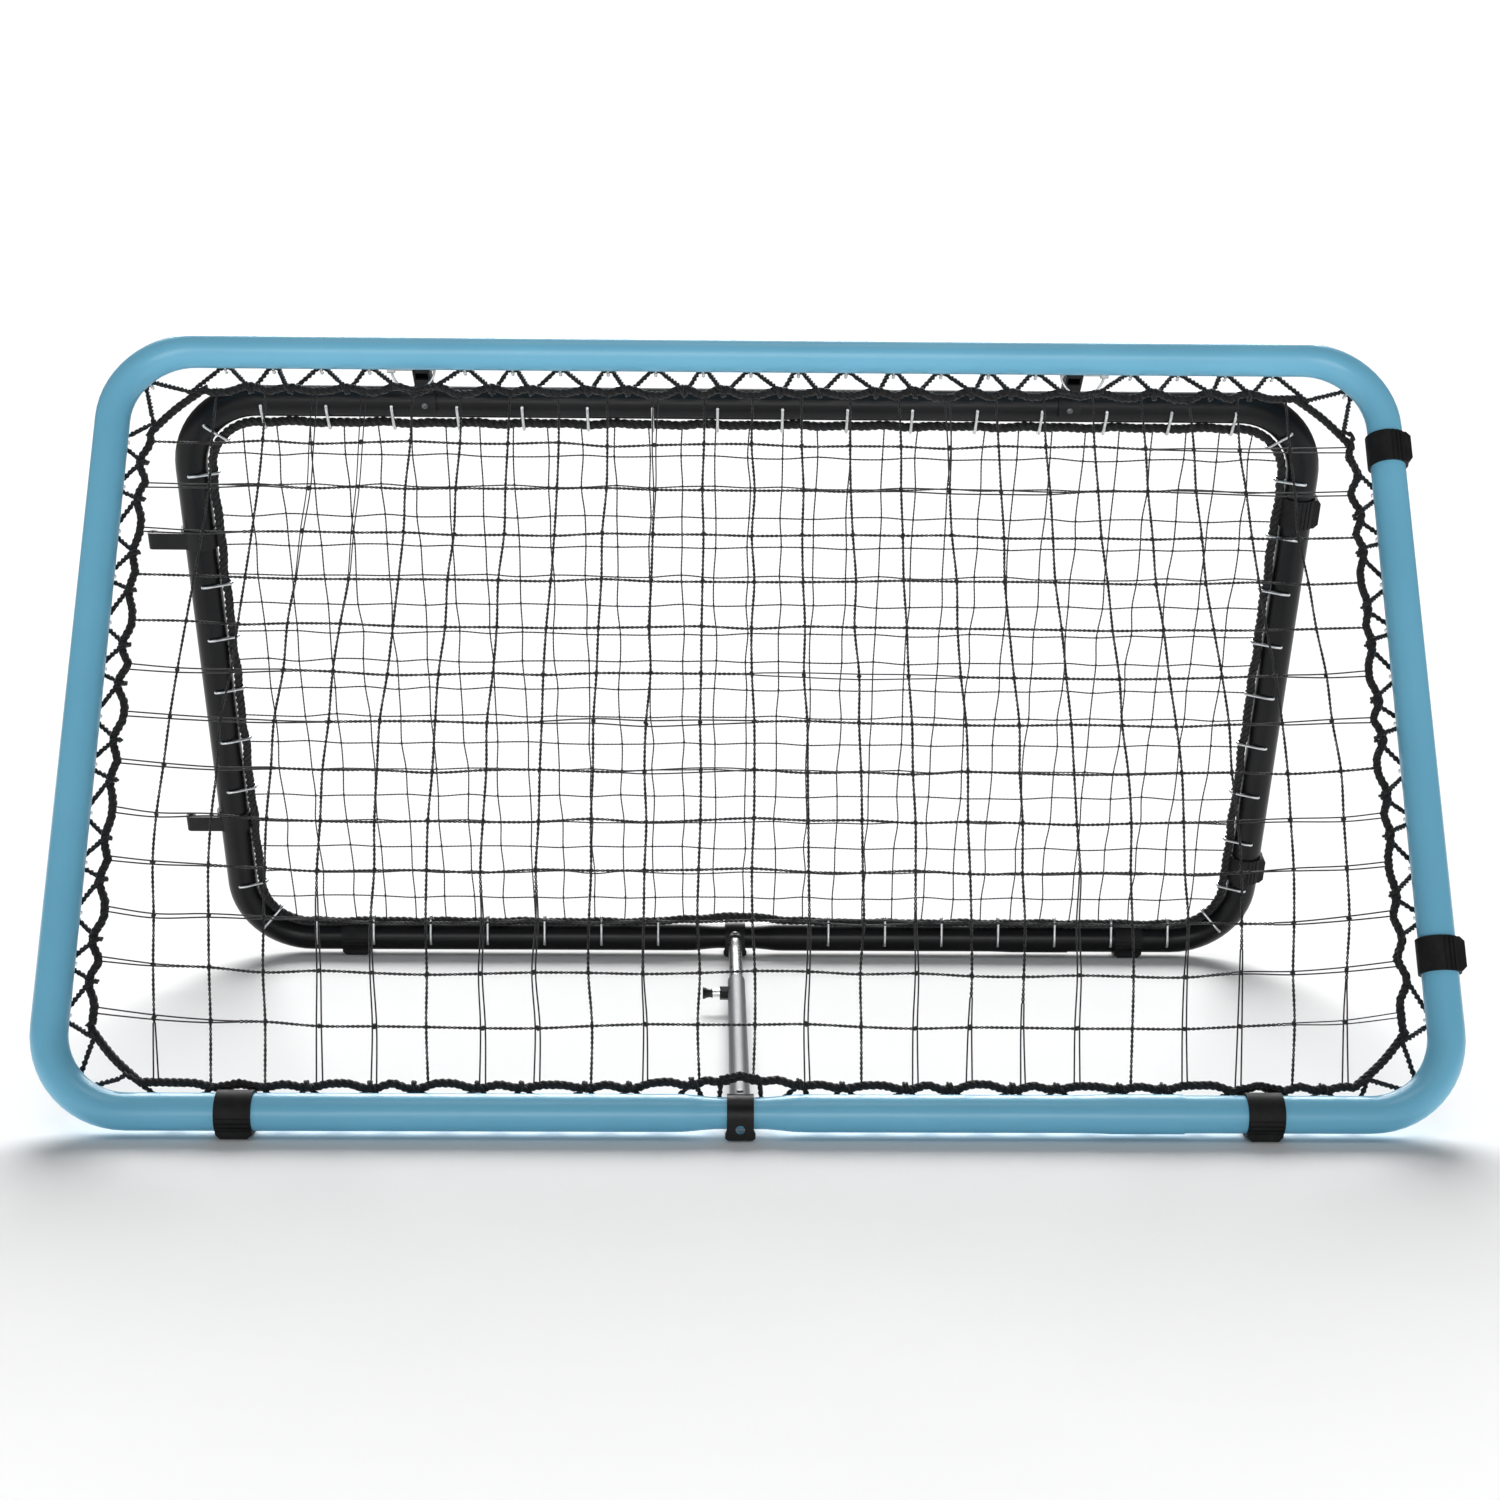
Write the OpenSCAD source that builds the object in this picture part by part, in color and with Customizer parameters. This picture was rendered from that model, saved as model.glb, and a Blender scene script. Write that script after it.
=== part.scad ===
// Two-sided rebound net: a light blue front frame and a black rear frame, both
// strung with a net, lean on each other as an A. Two arms join their top tubes
// and a telescopic strut with a pull pin sets how far the bottom tubes stand apart.

/* [Frames] */
// Overall width of the front frame, outside the tube
front_width = 1196; // [1150:1:1300]
// Overall height of the front frame, outside the tube
front_height = 731; // [700:1:800]
// Overall width of the rear frame, which is small enough to nest in the front one
rear_width = 1114; // [1000:1:1120]
// Overall height of the rear frame, outside the tube
rear_height = 649; // [600:1:680]
// Outside diameter of the frame tube
tube_d = 31; // [29:0.5:33]
// Wall of the frame tube
tube_wall = 1.5; // [1.2:0.1:2.5]
// Radius of each bent corner, on the tube's centre line
corner_r = 70; // [65:1:90]

/* [Stance] */
// Lean of the front frame from upright, in degrees
front_lean = 27.25; // [24:0.25:29]
// Lean of the rear frame from upright, in degrees
rear_lean = 20.5; // [18:0.5:24]
// Distance between the two bottom tubes, centre to centre
base_depth = 602; // [585:1:640]
// Height of a foot's pad under the tube
pad_h = 4; // [3:0.5:8]

/* [Necks and seam] */
// Diameter of the neck at the middle of each bottom tube, where the strut hooks on
neck_d = 26; // [24:0.5:27]
// Length of the straight part of the neck
neck_l = 30; // [28:1:40]
// Length of the blend from the neck to the full tube
neck_blend = 38; // [20:1:60]
// Place of the tube's joint along the bottom tube
seam_x = 357; // [250:1:420]
// Length of the belled end at the joint
bell_l = 60; // [30:1:90]
// How much the belled end stands out all round
bell_step = 0.8; // [0.4:0.1:1.2]

/* [Nets] */
// Cells across the front net
front_cols = 21; // [12:1:21]
// Cells up the front net
front_rows = 14; // [8:1:14]
// Cells across the rear net
rear_cols = 21; // [12:1:23]
// Cells up the rear net
rear_rows = 13; // [8:1:13]
// Thickness of the front net's cords
front_cord = 3; // [2:0.1:4]
// Thickness of the rear net's cords
rear_cord = 2.4; // [1.8:0.1:3]
// Diameter of the rope round each net
rope_d = 7; // [5:0.5:8]
// Distance of the front rope from the top tube's centre line
front_rope_top = 34; // [31:1:40]
// Distance of the front rope from the side tubes' centre lines
front_rope_side = 30; // [28:1:36]
// Distance of the front rope from the bottom tube's centre line
front_rope_bottom = 23; // [22:1:36]
// Radius of the front rope's corners
front_rope_corner = 50; // [30:1:60]

/* [Hooks and lacing] */
// Diameter of the hooks' wire
hook_wire = 3; // [2.5:0.1:3.2]
// Space between the front hooks
front_hook_pitch = 44.4; // [40:0.1:60]
// Space between the rear hooks along the top and bottom
rear_hook_pitch = 62; // [56:0.5:80]
// Space between the rear hooks along the sides
rear_side_pitch = 59; // [50:0.5:80]
// Diameter of the lacing cord
lace_d = 4.5; // [3.5:0.1:5]

/* [Feet and link eyes] */
// Length of a foot along the tube
foot_l = 30; // [24:1:40]
// Wall of a foot's band round the tube
foot_wall = 2.5; // [2:0.5:2.5]
// Distance of the feet from the middle, on both frames
foot_x = 423; // [380:1:435]
// Height of the front frame's lower side bumper
front_bumper_low = 134; // [100:1:160]
// Height of the front frame's upper side bumper
front_bumper_high = 606; // [540:1:610]
// Height of the rear frame's lower side bumper
rear_bumper_low = 96; // [90:1:130]
// Height of the rear frame's upper side bumper
rear_bumper_high = 512; // [460:1:525]
// Height of the lower link eye up the rear frame
eye_low = 151; // [110:1:180]
// Height of the upper link eye up the rear frame
eye_high = 476; // [420:1:500]
// Distance of a link eye from the side tube's centre line
eye_reach = 43.5; // [30:0.5:55]
// Outside diameter of a link eye
eye_d = 10; // [9:0.5:14]
// Diameter of the hole in a link eye
eye_hole_d = 5.5; // [4:0.5:7]
// Length of a link eye and width of its plate
eye_l = 17; // [12:1:24]

/* [Hinge arms] */
// Place across the frame of the left arm's middle
arm_left_x = -309; // [-340:1:-260]
// Place across the frame of the right arm's middle
arm_right_x = 305; // [260:1:340]
// Width of an arm
arm_w = 16; // [15:0.5:18]
// Height of an arm
arm_h = 13; // [11:0.5:13]
// Wall of an arm
arm_wall = 2; // [1.5:0.1:2.5]
// Distance of the hinge pin behind the front top tube's centre
pivot_back = 28; // [27:0.5:30]
// Drop of the hinge pin under the front top tube's centre
pivot_drop = 13; // [10:0.5:15]
// Diameter of the hinge pin
pin_d = 6; // [5:0.5:6]
// Radius of the snap ring
ring_r = 20.5; // [20:0.5:24]
// Diameter of the snap ring's wire
ring_wire = 2.2; // [1.8:0.1:2.6]
// Thickness of the saddles on the top tubes
saddle_wall = 3; // [2.5:0.1:4]

/* [Strut] */
// Place across the frame of the strut
strut_x = -9; // [-20:1:20]
// Outside diameter of the outer strut tube
strut_d = 17.5; // [16.5:0.5:19]
// Wall of both strut tubes
strut_wall = 1.2; // [1:0.1:1.5]
// Distance of the outer tube's mouth from the front bottom tube
strut_mouth = 411; // [400:1:440]
// Length of the inner tube inside the outer tube
strut_overlap = 160; // [140:1:220]
// Distance of the pull pin from the outer tube's mouth
pin_back = 42; // [35:1:60]
// Space between the adjustment holes
hole_pitch = 25; // [15:1:25]
// Diameter of the adjustment holes
hole_d = 6; // [5.8:0.1:6.5]
// Width of the straps that hook over the necks
strap_w = 22; // [18:1:26]
// Thickness of the straps
strap_wall = 2.5; // [2:0.1:3.5]
// Diameter of the hole in a strap's leg
strap_hole_d = 8; // [5:0.5:8]
// Travel of the pull pin
pin_travel = 4.4; // [3.5:0.1:4.4]

/* [Hidden] */
$fn = 64;

// Clearances
seat_gap = 0.02;      // between a saddle or band and the tube that it grips
run_gap = 0.06;       // all round a pin that turns or slides in its hole
side_gap = 0.3;       // beside and round pieces that swing
open_gap = 1.7;       // round the rear neck, where the linkage is left open
tie = 0.3;            // how far a cord bites into the rope it is tied to

// Frame layout: each frame lies in its own plane, X across, Z up the frame
tube_r = tube_d / 2;
front_w = front_width - tube_d;
front_h = front_height - tube_d;
rear_w = rear_width - tube_d;
rear_h = rear_height - tube_d;
axle_z = tube_r + pad_h;
neck_r = neck_d / 2;

// Overall reach, which puts the origin on the floor under the middle of the object
band_r = tube_r + foot_wall;
left_reach = max(front_w / 2 + tube_r, rear_w / 2 + eye_reach + eye_d / 2);
right_reach = front_w / 2 + tube_r + pad_h;
mid_x = (right_reach - left_reach) / 2;
mid_y = base_depth / 2;

// Hinge geometry, seen from the side
front_top = [front_h * sin(front_lean), axle_z + front_h * cos(front_lean)];
rear_top = [base_depth - rear_h * sin(rear_lean), axle_z + rear_h * cos(rear_lean)];
pivot = front_top + [pivot_back, -pivot_drop];
lug_run = norm([pivot_back, pivot_drop]);
lug_tilt = -atan2(pivot_drop, pivot_back);
arm_run = norm(rear_top - pivot);
arm_tilt = atan2(rear_top[1] - pivot[1], rear_top[0] - pivot[0]);
lug_w = arm_w - 2 * arm_wall - 2 * side_gap;
lug_nose_r = arm_h / 2 - 1;
pin_r = pin_d / 2;
ring_shift = arm_w / 2;

// Hook geometry across the tube: U is towards the net, W is towards the other frame
hook_r = hook_wire / 2;
hook_bar_r = hook_r * 0.97;
hook_leg_r = hook_r * 0.9;
hook_seat_r = tube_r + hook_r + 0.1;
crook_turn = 150;
hold_gap = 0.1;
rope_r = rope_d / 2;
lace_r = lace_d / 2;
front_reach = 1;
rear_reach = 18.5;
front_leave = 75;     // angle at which a front hook leaves the tube, then it turns outwards
rear_leave = 65;      // angle at which a rear hook leaves the tube, then it turns back in
function crook_r(hold) = hold + hook_r + hold_gap;
function crook_u(hold, reach, leave, way) =
    (hook_seat_r - way * crook_r(hold)) * cos(leave) + reach * sin(leave);
function crook_w(hold, reach, leave, way) =
    (hook_seat_r - way * crook_r(hold)) * sin(leave) - reach * cos(leave);
lace_u = crook_u(lace_r, front_reach, front_leave, -1);
lace_w = crook_w(lace_r, front_reach, front_leave, -1);
lace_hold = hook_r + lace_r + 0.5;
front_net_w = 8.2;
lace_front = front_net_w - rope_r - lace_r + tie;
rear_rope_in = crook_u(rope_r, rear_reach, rear_leave, 1);
rear_net_w = crook_w(rope_r, rear_reach, rear_leave, 1);
rear_rope_corner = floor(corner_r - rear_rope_in);
bend_in = corner_r * (1 - cos(45));
front_hook_w = front_w - 2 * corner_r;
front_hook_h = front_h - 2 * corner_r;
rear_hook_w = rear_w - 2 * corner_r;
rear_hook_h = rear_h - 2 * corner_r;
lug_foot_w = 30;
hook_clear = hook_r + 2;
lace_clear = lace_hold + lace_r + 1;
cord_clear = lace_r + 1;

// Strut geometry
strut_r = strut_d / 2;
strut_bore_r = strut_r - strut_wall;
bush_wall = 0.6;
bush_l = 20;
inner_r = strut_bore_r - bush_wall - run_gap;
pin_y = strut_mouth - pin_back;
leg_flare = 1.5;
strap_in_r = neck_r + side_gap;
rear_strap_in_r = neck_r + open_gap;
strap_leg = axle_z - 1.2;
inner_start = strut_mouth - strut_overlap;
inner_end = base_depth - rear_strap_in_r - strap_wall;
socket_l = 12;
spigot_l = 30;
holes_in = 2;
holes_out = 3;

// Pull pin, measured along X from the strut's centre to the left
nut_l = 8;
nut_flats = 12;
chamber_r = 5.3;
lip_l = 1;
shank_r = 4.25;
collar_r = 5.1;
collar_l = 1;
tip_r = 2.7;
tip_park = inner_r + 0.45;
shank_end = strut_r + pin_travel + 0.3;
shank_show = 7;
knob_l = 10;
spring_wire = 0.35;
spring_turns = 2;

// Places a module in the object's frame, with the origin under its middle
module place() {
    translate([-mid_x, -mid_y, 0]) children();
}

// Places a module in the front frame's plane; local +Y faces the rear frame
module on_front() {
    place() translate([0, 0, axle_z]) rotate([-front_lean, 0, 0]) children();
}

// Places a module in the rear frame's plane; local +Y faces the front frame
module on_rear() {
    place() translate([0, base_depth, axle_z]) mirror([0, 1, 0]) rotate([-rear_lean, 0, 0]) children();
}

// A straight round bar along X, centred
module bar_x(r, l) {
    rotate([0, 90, 0]) cylinder(r = r, h = l, center = true);
}

// A rounded rectangular loop of round bar, in the XZ plane
module round_loop(w, h, bend, r) {
    for (s = [-1, 1]) {
        translate([s * w / 2, 0, 0]) cylinder(r = r, h = h - 2 * bend, center = true);
        translate([0, 0, s * h / 2]) bar_x(r, w - 2 * bend);
    }
    for (sx = [-1, 1], sz = [-1, 1])
        translate([sx * (w / 2 - bend), 0, sz * (h / 2 - bend)]) rotate([90, 0, 0])
            rotate([0, 0, sx > 0 ? (sz > 0 ? 0 : 270) : (sz > 0 ? 90 : 180)])
                rotate_extrude(angle = 90) translate([bend, 0]) circle(r = r);
}

// Radius of the bottom tube along its length: a neck, and a belled end at the joint
function ease(t) = (1 - cos(180 * min(1, max(0, t)))) / 2;
function neck_at(x) = tube_r - (tube_r - neck_r) * (1 - ease((abs(x - strut_x) - neck_l / 2) / neck_blend));
blend_steps = 8;
function bottom_line(end) = concat(
    [[-end, tube_r]],
    [for (i = [0:blend_steps]) let (x = strut_x - neck_l / 2 - neck_blend * (1 - i / blend_steps))
        [x, neck_at(x)]],
    [for (i = [0:blend_steps]) let (x = strut_x + neck_l / 2 + neck_blend * i / blend_steps) [x, neck_at(x)]],
    [[seam_x - bell_l - 25, tube_r], [seam_x - bell_l, tube_r + bell_step], [seam_x, tube_r + bell_step],
     [seam_x, tube_r], [end, tube_r]]);

// The bent frame tube: one loop, drawn in at the neck and belled at its joint
module frame_tube(w, h) {
    line = bottom_line(w / 2 - corner_r);
    last = len(line) - 1;
    rotate([0, 90, 0]) rotate_extrude() polygon(concat(
        [for (p = line) [p[1], p[0]]],
        [for (i = [last:-1:0]) [line[i][1] - tube_wall, line[i][0]]]));
    difference() {
        translate([0, 0, h / 2]) round_loop(w, h, corner_r, tube_r);
        translate([0, 0, h / 2]) round_loop(w, h, corner_r, tube_r - tube_wall);
        bar_x(tube_r + 1, w - 2 * corner_r);
    }
}

// Flat outline of a net inside its rope
module rounded_field(w, h, r) {
    square([w - 2 * r, h], center = true);
    square([w, h - 2 * r], center = true);
    for (sx = [-1, 1], sy = [-1, 1])
        translate([sx * (w / 2 - r), sy * (h / 2 - r)]) circle(r = r);
}

// A flat net: crossing cords cut to the rope's outline
module net(w, h, r, cols, rows, cord) {
    rotate([90, 0, 0]) linear_extrude(height = cord * 0.8, center = true) intersection() {
        rounded_field(w, h, r);
        union() {
            for (i = [1:cols - 1]) translate([(i / cols - 0.5) * w, 0]) square([cord, h], center = true);
            for (i = [1:rows - 1]) translate([0, (i / rows - 0.5) * h]) square([w, cord], center = true);
        }
    }
}

// Places of the hooks along one side, clear of what is in the way; a block is its place and half its length
function hook_spots(straight, pitch, mid, shift, blocks, clear) =
    let (n = floor((straight - 4) / pitch) + 1)
    [for (i = [-1:n]) let (v = mid + shift + (i - (n - 1) / 2) * pitch)
        if (abs(v - mid) <= straight / 2 - 2)
            if (len([for (b = blocks) if (abs(v - b[0]) < b[1] + clear) b]) == 0) v];
feet = [[-foot_x, foot_l / 2], [foot_x, foot_l / 2]];
lugs = [[arm_left_x, lug_foot_w / 2], [arm_right_x, lug_foot_w / 2]];
arms = [arm_left_x, arm_right_x];
front_low_blocks = [feet[0], [strut_x, strap_w / 2 + leg_flare], feet[1]];
front_bumpers = [[front_bumper_low, foot_l / 2], [front_bumper_high, foot_l / 2]];
front_hooks_low = hook_spots(front_hook_w, front_hook_pitch, 0, strut_x + front_hook_pitch / 2,
    front_low_blocks, lace_clear);
front_hooks_top = hook_spots(front_hook_w, front_hook_pitch, 0, 0, lugs, lace_clear);
front_hooks_left = hook_spots(front_hook_h, front_hook_pitch, front_h / 2, 0, [], 0);
front_hooks_right = hook_spots(front_hook_h, front_hook_pitch, front_h / 2, 0, front_bumpers, lace_clear);
rear_hooks_low = hook_spots(rear_hook_w, rear_hook_pitch, 0, 0,
    [feet[0], [strut_x, neck_l / 2 + neck_blend], feet[1]], hook_clear);
rear_hooks_top = hook_spots(rear_hook_w, rear_hook_pitch, 0, 0, lugs, hook_clear);
rear_hooks_left = hook_spots(rear_hook_h, rear_side_pitch, rear_h / 2, 0,
    [[eye_low, eye_l / 2 + 8], [eye_high, eye_l / 2 + 8]], hook_clear);
rear_hooks_right = hook_spots(rear_hook_h, rear_side_pitch, rear_h / 2, 0,
    [[rear_bumper_low, foot_l / 2], [rear_bumper_high, foot_l / 2]], hook_clear);

// One wire hook: out of the tube, over its face, and round the cord it holds. Its crook turns back
// to the tube where way is 1 and away from it where way is -1.
module hook(hold, reach, leave, way) {
    rotate([0, -90, 0]) {
        rotate([0, 0, 90]) translate([tube_r - 3, 0, 0]) rotate([0, 90, 0])
            cylinder(r = hook_leg_r, h = 3 + hook_r, $fn = 24);
        rotate([0, 0, leave]) rotate_extrude(angle = 90 - leave, $fn = 96)
            translate([hook_seat_r, 0]) circle(r = hook_r, $fn = 24);
        rotate([0, 0, leave]) translate([hook_seat_r, 0.1, 0]) rotate([90, 0, 0])
            cylinder(r = hook_bar_r, h = reach + 0.2, $fn = 24);
        translate([crook_u(hold, reach, leave, way), crook_w(hold, reach, leave, way), 0])
            rotate([0, 0, way > 0 ? leave - crook_turn : leave + 180])
                rotate_extrude(angle = crook_turn, $fn = 48) translate([crook_r(hold), 0])
                    circle(r = hook_r, $fn = 24);
    }
}

// Hooks round a frame, all pointing at the net, with one at the middle of each bend
module hook_set(w, h, low, top, left, right, hold, reach, leave, way) {
    for (x = low) translate([x, 0, 0]) hook(hold, reach, leave, way);
    for (x = top) translate([x, 0, h]) mirror([0, 0, 1]) hook(hold, reach, leave, way);
    for (z = left) translate([-w / 2, 0, z]) rotate([0, 90, 0]) hook(hold, reach, leave, way);
    for (z = right) translate([w / 2, 0, z]) rotate([0, -90, 0]) hook(hold, reach, leave, way);
    for (sx = [-1, 1], sz = [-1, 1])
        translate([sx * (w / 2 - bend_in), 0, h / 2 + sz * (h / 2 - bend_in)])
            rotate([0, atan2(-sx, -sz), 0]) hook(hold, reach, leave, way);
}

// A cord swept along a closed run of points, with a ring of six sides at each point
function ring_frame(p, r) = let (d = (r - p) / norm(r - p), s = cross(d, [0, 1, 0]))
    [s / norm(s), cross(s / norm(s), d)];
module closed_cord(pts, r) {
    n = len(pts);
    sides = 6;
    rings = [for (i = [0:n - 1]) let (f = ring_frame(pts[(i + n - 1) % n], pts[(i + 1) % n]))
        for (k = [0:sides - 1]) pts[i] + r * (cos(60 * k) * f[0] + sin(60 * k) * f[1])];
    quads = [for (i = [0:n - 1], k = [0:sides - 1])
        let (a = i * sides, b = ((i + 1) % n) * sides, k2 = (k + 1) % sides)
        for (t = [[a + k, b + k, b + k2], [a + k, b + k2, a + k2]]) t];
    polyhedron(points = rings, faces = [for (t = quads) [t[0], t[2], t[1]]]);
}

// Lacing run along one side: two points beside each hook, and between hooks one point on the rope,
// or one on each side of what is in the way
function rope_stops(from, to, blocks, nudge) =
    let (between = [for (b = blocks) if (b[0] > from && b[0] < to) b])
    len(between) == 0 ? [(from + to) / 2 + nudge]
        : [between[0][0] - between[0][1] - cord_clear, between[0][0] + between[0][1] + cord_clear];
function lace_side(spots, blocks) = [
    for (i = [0:len(spots) - 1]) let (v = spots[i], last = i == len(spots) - 1)
        for (p = concat([[v - lace_hold, 0], [v + lace_hold, 0]],
            last ? [for (b = blocks) if (b[0] > v) for (s = [-1, 1]) [b[0] + s * (b[1] + cord_clear), 1]]
                : [for (q = rope_stops(v, spots[i + 1], blocks, i % 2 == 0 ? 4 : -4)) [q, 1]])) p];
function lace_run(spots, blocks, back) = let (run = lace_side(spots, blocks), n = len(run))
    [for (i = [0:n - 1]) run[back ? n - 1 - i : i]];

// Lacing round one bend: on the rope, over the hook in the middle of the bend, and on the rope again
function rope_bend(sx, sz, turn) = let (
    x = front_w / 2 - front_rope_side - front_rope_corner,
    z = sz > 0 ? front_h - front_rope_top - front_rope_corner : front_rope_bottom + front_rope_corner)
    [sx * (x + front_rope_corner * cos(turn)), lace_front, z + sz * front_rope_corner * sin(turn)];
function hook_bend(sx, sz, side) = let (
    d = [sx, sz] / sqrt(2),
    c = [sx * (front_w / 2 - corner_r), front_h / 2 + sz * (front_h / 2 - corner_r)],
    p = c + (corner_r - lace_u) * d + side * lace_hold * [-d[1], d[0]])
    [p[0], lace_w, p[1]];
function lace_bend(sx, sz) = let (rise = sx * sz > 0 ? 1 : -1)
    [rope_bend(sx, sz, 45 - rise * 22.5), hook_bend(sx, sz, -1), hook_bend(sx, sz, 1),
        rope_bend(sx, sz, 45 + rise * 22.5)];
function lace_points() = let (half_w = front_w / 2, side = half_w - front_rope_side,
    low = front_rope_bottom, roof = front_h - front_rope_top) concat(
    [for (p = lace_run(front_hooks_low, front_low_blocks, false))
        p[1] == 0 ? [p[0], lace_w, lace_u] : [p[0], lace_front, low]],
    lace_bend(1, -1),
    [for (p = lace_run(front_hooks_right, front_bumpers, false))
        p[1] == 0 ? [half_w - lace_u, lace_w, p[0]] : [side, lace_front, p[0]]],
    lace_bend(1, 1),
    [for (p = lace_run(front_hooks_top, lugs, true))
        p[1] == 0 ? [p[0], lace_w, front_h - lace_u] : [p[0], lace_front, roof]],
    lace_bend(-1, 1),
    [for (p = lace_run(front_hooks_left, [], true))
        p[1] == 0 ? [lace_u - half_w, lace_w, p[0]] : [-side, lace_front, p[0]]],
    lace_bend(-1, -1));

// A moulded foot gripping the tube: a ribbed band along X with a pad below it
pad_w = 24;
pad_bevel = 4;
groove_w = 1.6;
groove_depth = 0.8;
module foot() {
    difference() {
        union() {
            bar_x(band_r, foot_l);
            rotate([90, 0, 0]) linear_extrude(height = pad_w, center = true) polygon([
                [-foot_l / 2, 0], [foot_l / 2, 0], [foot_l / 2, pad_bevel - axle_z],
                [foot_l / 2 - pad_bevel, -axle_z], [pad_bevel - foot_l / 2, -axle_z],
                [-foot_l / 2, pad_bevel - axle_z]]);
        }
        bar_x(tube_r + seat_gap, foot_l + 2);
        for (a = [0, 14, 28], s = [-1, 1]) rotate([-s * a, 0, 0])
            translate([0, s * band_r, 0]) cube([foot_l + 2, 2 * groove_depth, groove_w], center = true);
    }
}

// A foot turned into a side bumper on the right side tube, its pad facing outwards
module side_bumper(w, z) {
    translate([w / 2, 0, z]) rotate([0, -90, 0]) foot();
}

// A link eye: a band on the side tube, a plate and a rolled eye, all one pressing
eye_plate = 2.5;
eye_band_wall = 2.5;
module link_eye(z) {
    plate_y = tube_r - eye_plate / 2;
    barrel_y = tube_r - eye_d / 2;
    translate([-rear_w / 2, 0, z]) difference() {
        union() {
            cylinder(r = tube_r + eye_band_wall, h = eye_l + 2, center = true);
            translate([-eye_reach / 2, plate_y, 0]) cube([eye_reach, eye_plate, eye_l], center = true);
            translate([-eye_reach, barrel_y, 0]) cylinder(d = eye_d, h = eye_l, center = true);
        }
        cylinder(r = tube_r + seat_gap, h = eye_l + 4, center = true);
        translate([-eye_reach, barrel_y, 0]) cylinder(d = eye_hole_d, h = eye_l + 4, center = true);
    }
}

// A curved saddle plate on a tube along X, facing +Y, spanning an angle each way
module saddle(w, wall, half_angle) {
    rotate([90, 0, 90]) linear_extrude(height = w, center = true) intersection() {
        difference() {
            circle(r = tube_r + wall);
            circle(r = tube_r + seat_gap);
        }
        polygon(concat([[0, 0]], [for (a = [-half_angle, 0, half_angle]) 60 * [cos(a), sin(a)]]));
    }
}

// Places a module on the front top tube with +Y towards the pin, or at the pin with +Y down the arm
module at_front_top(x) {
    place() translate([x, front_top[0], front_top[1]]) rotate([lug_tilt, 0, 0]) children();
}
module at_pivot(x, tilt) {
    place() translate([x, pivot[0], pivot[1]]) rotate([tilt, 0, 0]) children();
}

// Lug riveted to the back of the front top tube; the hinge pin goes through its nose
module hinge_lug(x) {
    at_front_top(x) difference() {
        union() {
            saddle(lug_foot_w, saddle_wall, 30);
            translate([-lug_w / 2, tube_r + saddle_wall / 2, -lug_nose_r])
                cube([lug_w, lug_run - tube_r - saddle_wall / 2, 2 * lug_nose_r]);
            translate([0, lug_run, 0]) bar_x(lug_nose_r, lug_w);
        }
        translate([0, lug_run, 0]) bar_x(pin_r + run_gap, lug_w + 2);
    }
}

// A low domed rivet head with its shank, along +Z from the surface it holds
rivet_head_r = 3;
rivet_shank_r = 1.6;
rivet_dome = 1.6;
module rivet(grip) {
    rotate_extrude($fn = 32) polygon([
        [0, -grip], [rivet_shank_r, -grip], [rivet_shank_r, 0], [rivet_head_r, 0],
        [rivet_head_r, rivet_dome * 0.4], [rivet_head_r * 0.75, rivet_dome * 0.8],
        [rivet_head_r * 0.4, rivet_dome], [0, rivet_dome]]);
}

// A ring pin: headed shank with a cross hole; side is -1 on the left and 1 on the right
head_l = 7;
head_r = 5;
module hinge_pin(x, side) {
    ring_mid = side * ring_shift;
    far = ring_mid + side * ring_r;
    near = ring_mid - side * (ring_r - ring_wire / 2 - 0.6);
    at_pivot(x, 0) difference() {
        union() {
            translate([(far + near) / 2, 0, 0]) bar_x(pin_r, abs(far - near));
            translate([far, 0, 0]) bar_x(head_r, head_l);
        }
        translate([far - side * 0.35, 0, 0])
            cylinder(r = ring_wire / 2 + 0.7, h = 2 * head_r + 2, center = true);
    }
}

module snap_ring(x, side) {
    at_pivot(x + side * ring_shift, 0) rotate([90, 0, 0])
        rotate_extrude($fn = 72) translate([ring_r, 0]) circle(d = ring_wire, $fn = 24);
}

// A box-section arm: slotted cheeks at the pin, a saddle welded on at the rear tube
arm_slot = 10;
arm_saddle_w = 21;
arm_saddle_angle = 78;
module hinge_arm(x) {
    inner_w = arm_w - 2 * arm_wall;
    at_pivot(x, arm_tilt) difference() {
        union() {
            bar_x(arm_h / 2, arm_w);
            translate([-arm_w / 2, 0, -arm_h / 2]) cube([arm_w, arm_run - tube_r - saddle_wall / 2, arm_h]);
            translate([0, arm_run, 0]) mirror([0, 1, 0]) saddle(arm_saddle_w, saddle_wall, arm_saddle_angle);
        }
        translate([-inner_w / 2, -arm_h, arm_wall - arm_h / 2])
            cube([inner_w, arm_h + arm_run - tube_r - saddle_wall - 1, arm_h - 2 * arm_wall]);
        translate([-inner_w / 2, -arm_h, -arm_h]) cube([inner_w, arm_h + arm_slot, 2 * arm_h]);
        bar_x(pin_r + run_gap, arm_w + 2);
    }
}

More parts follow.
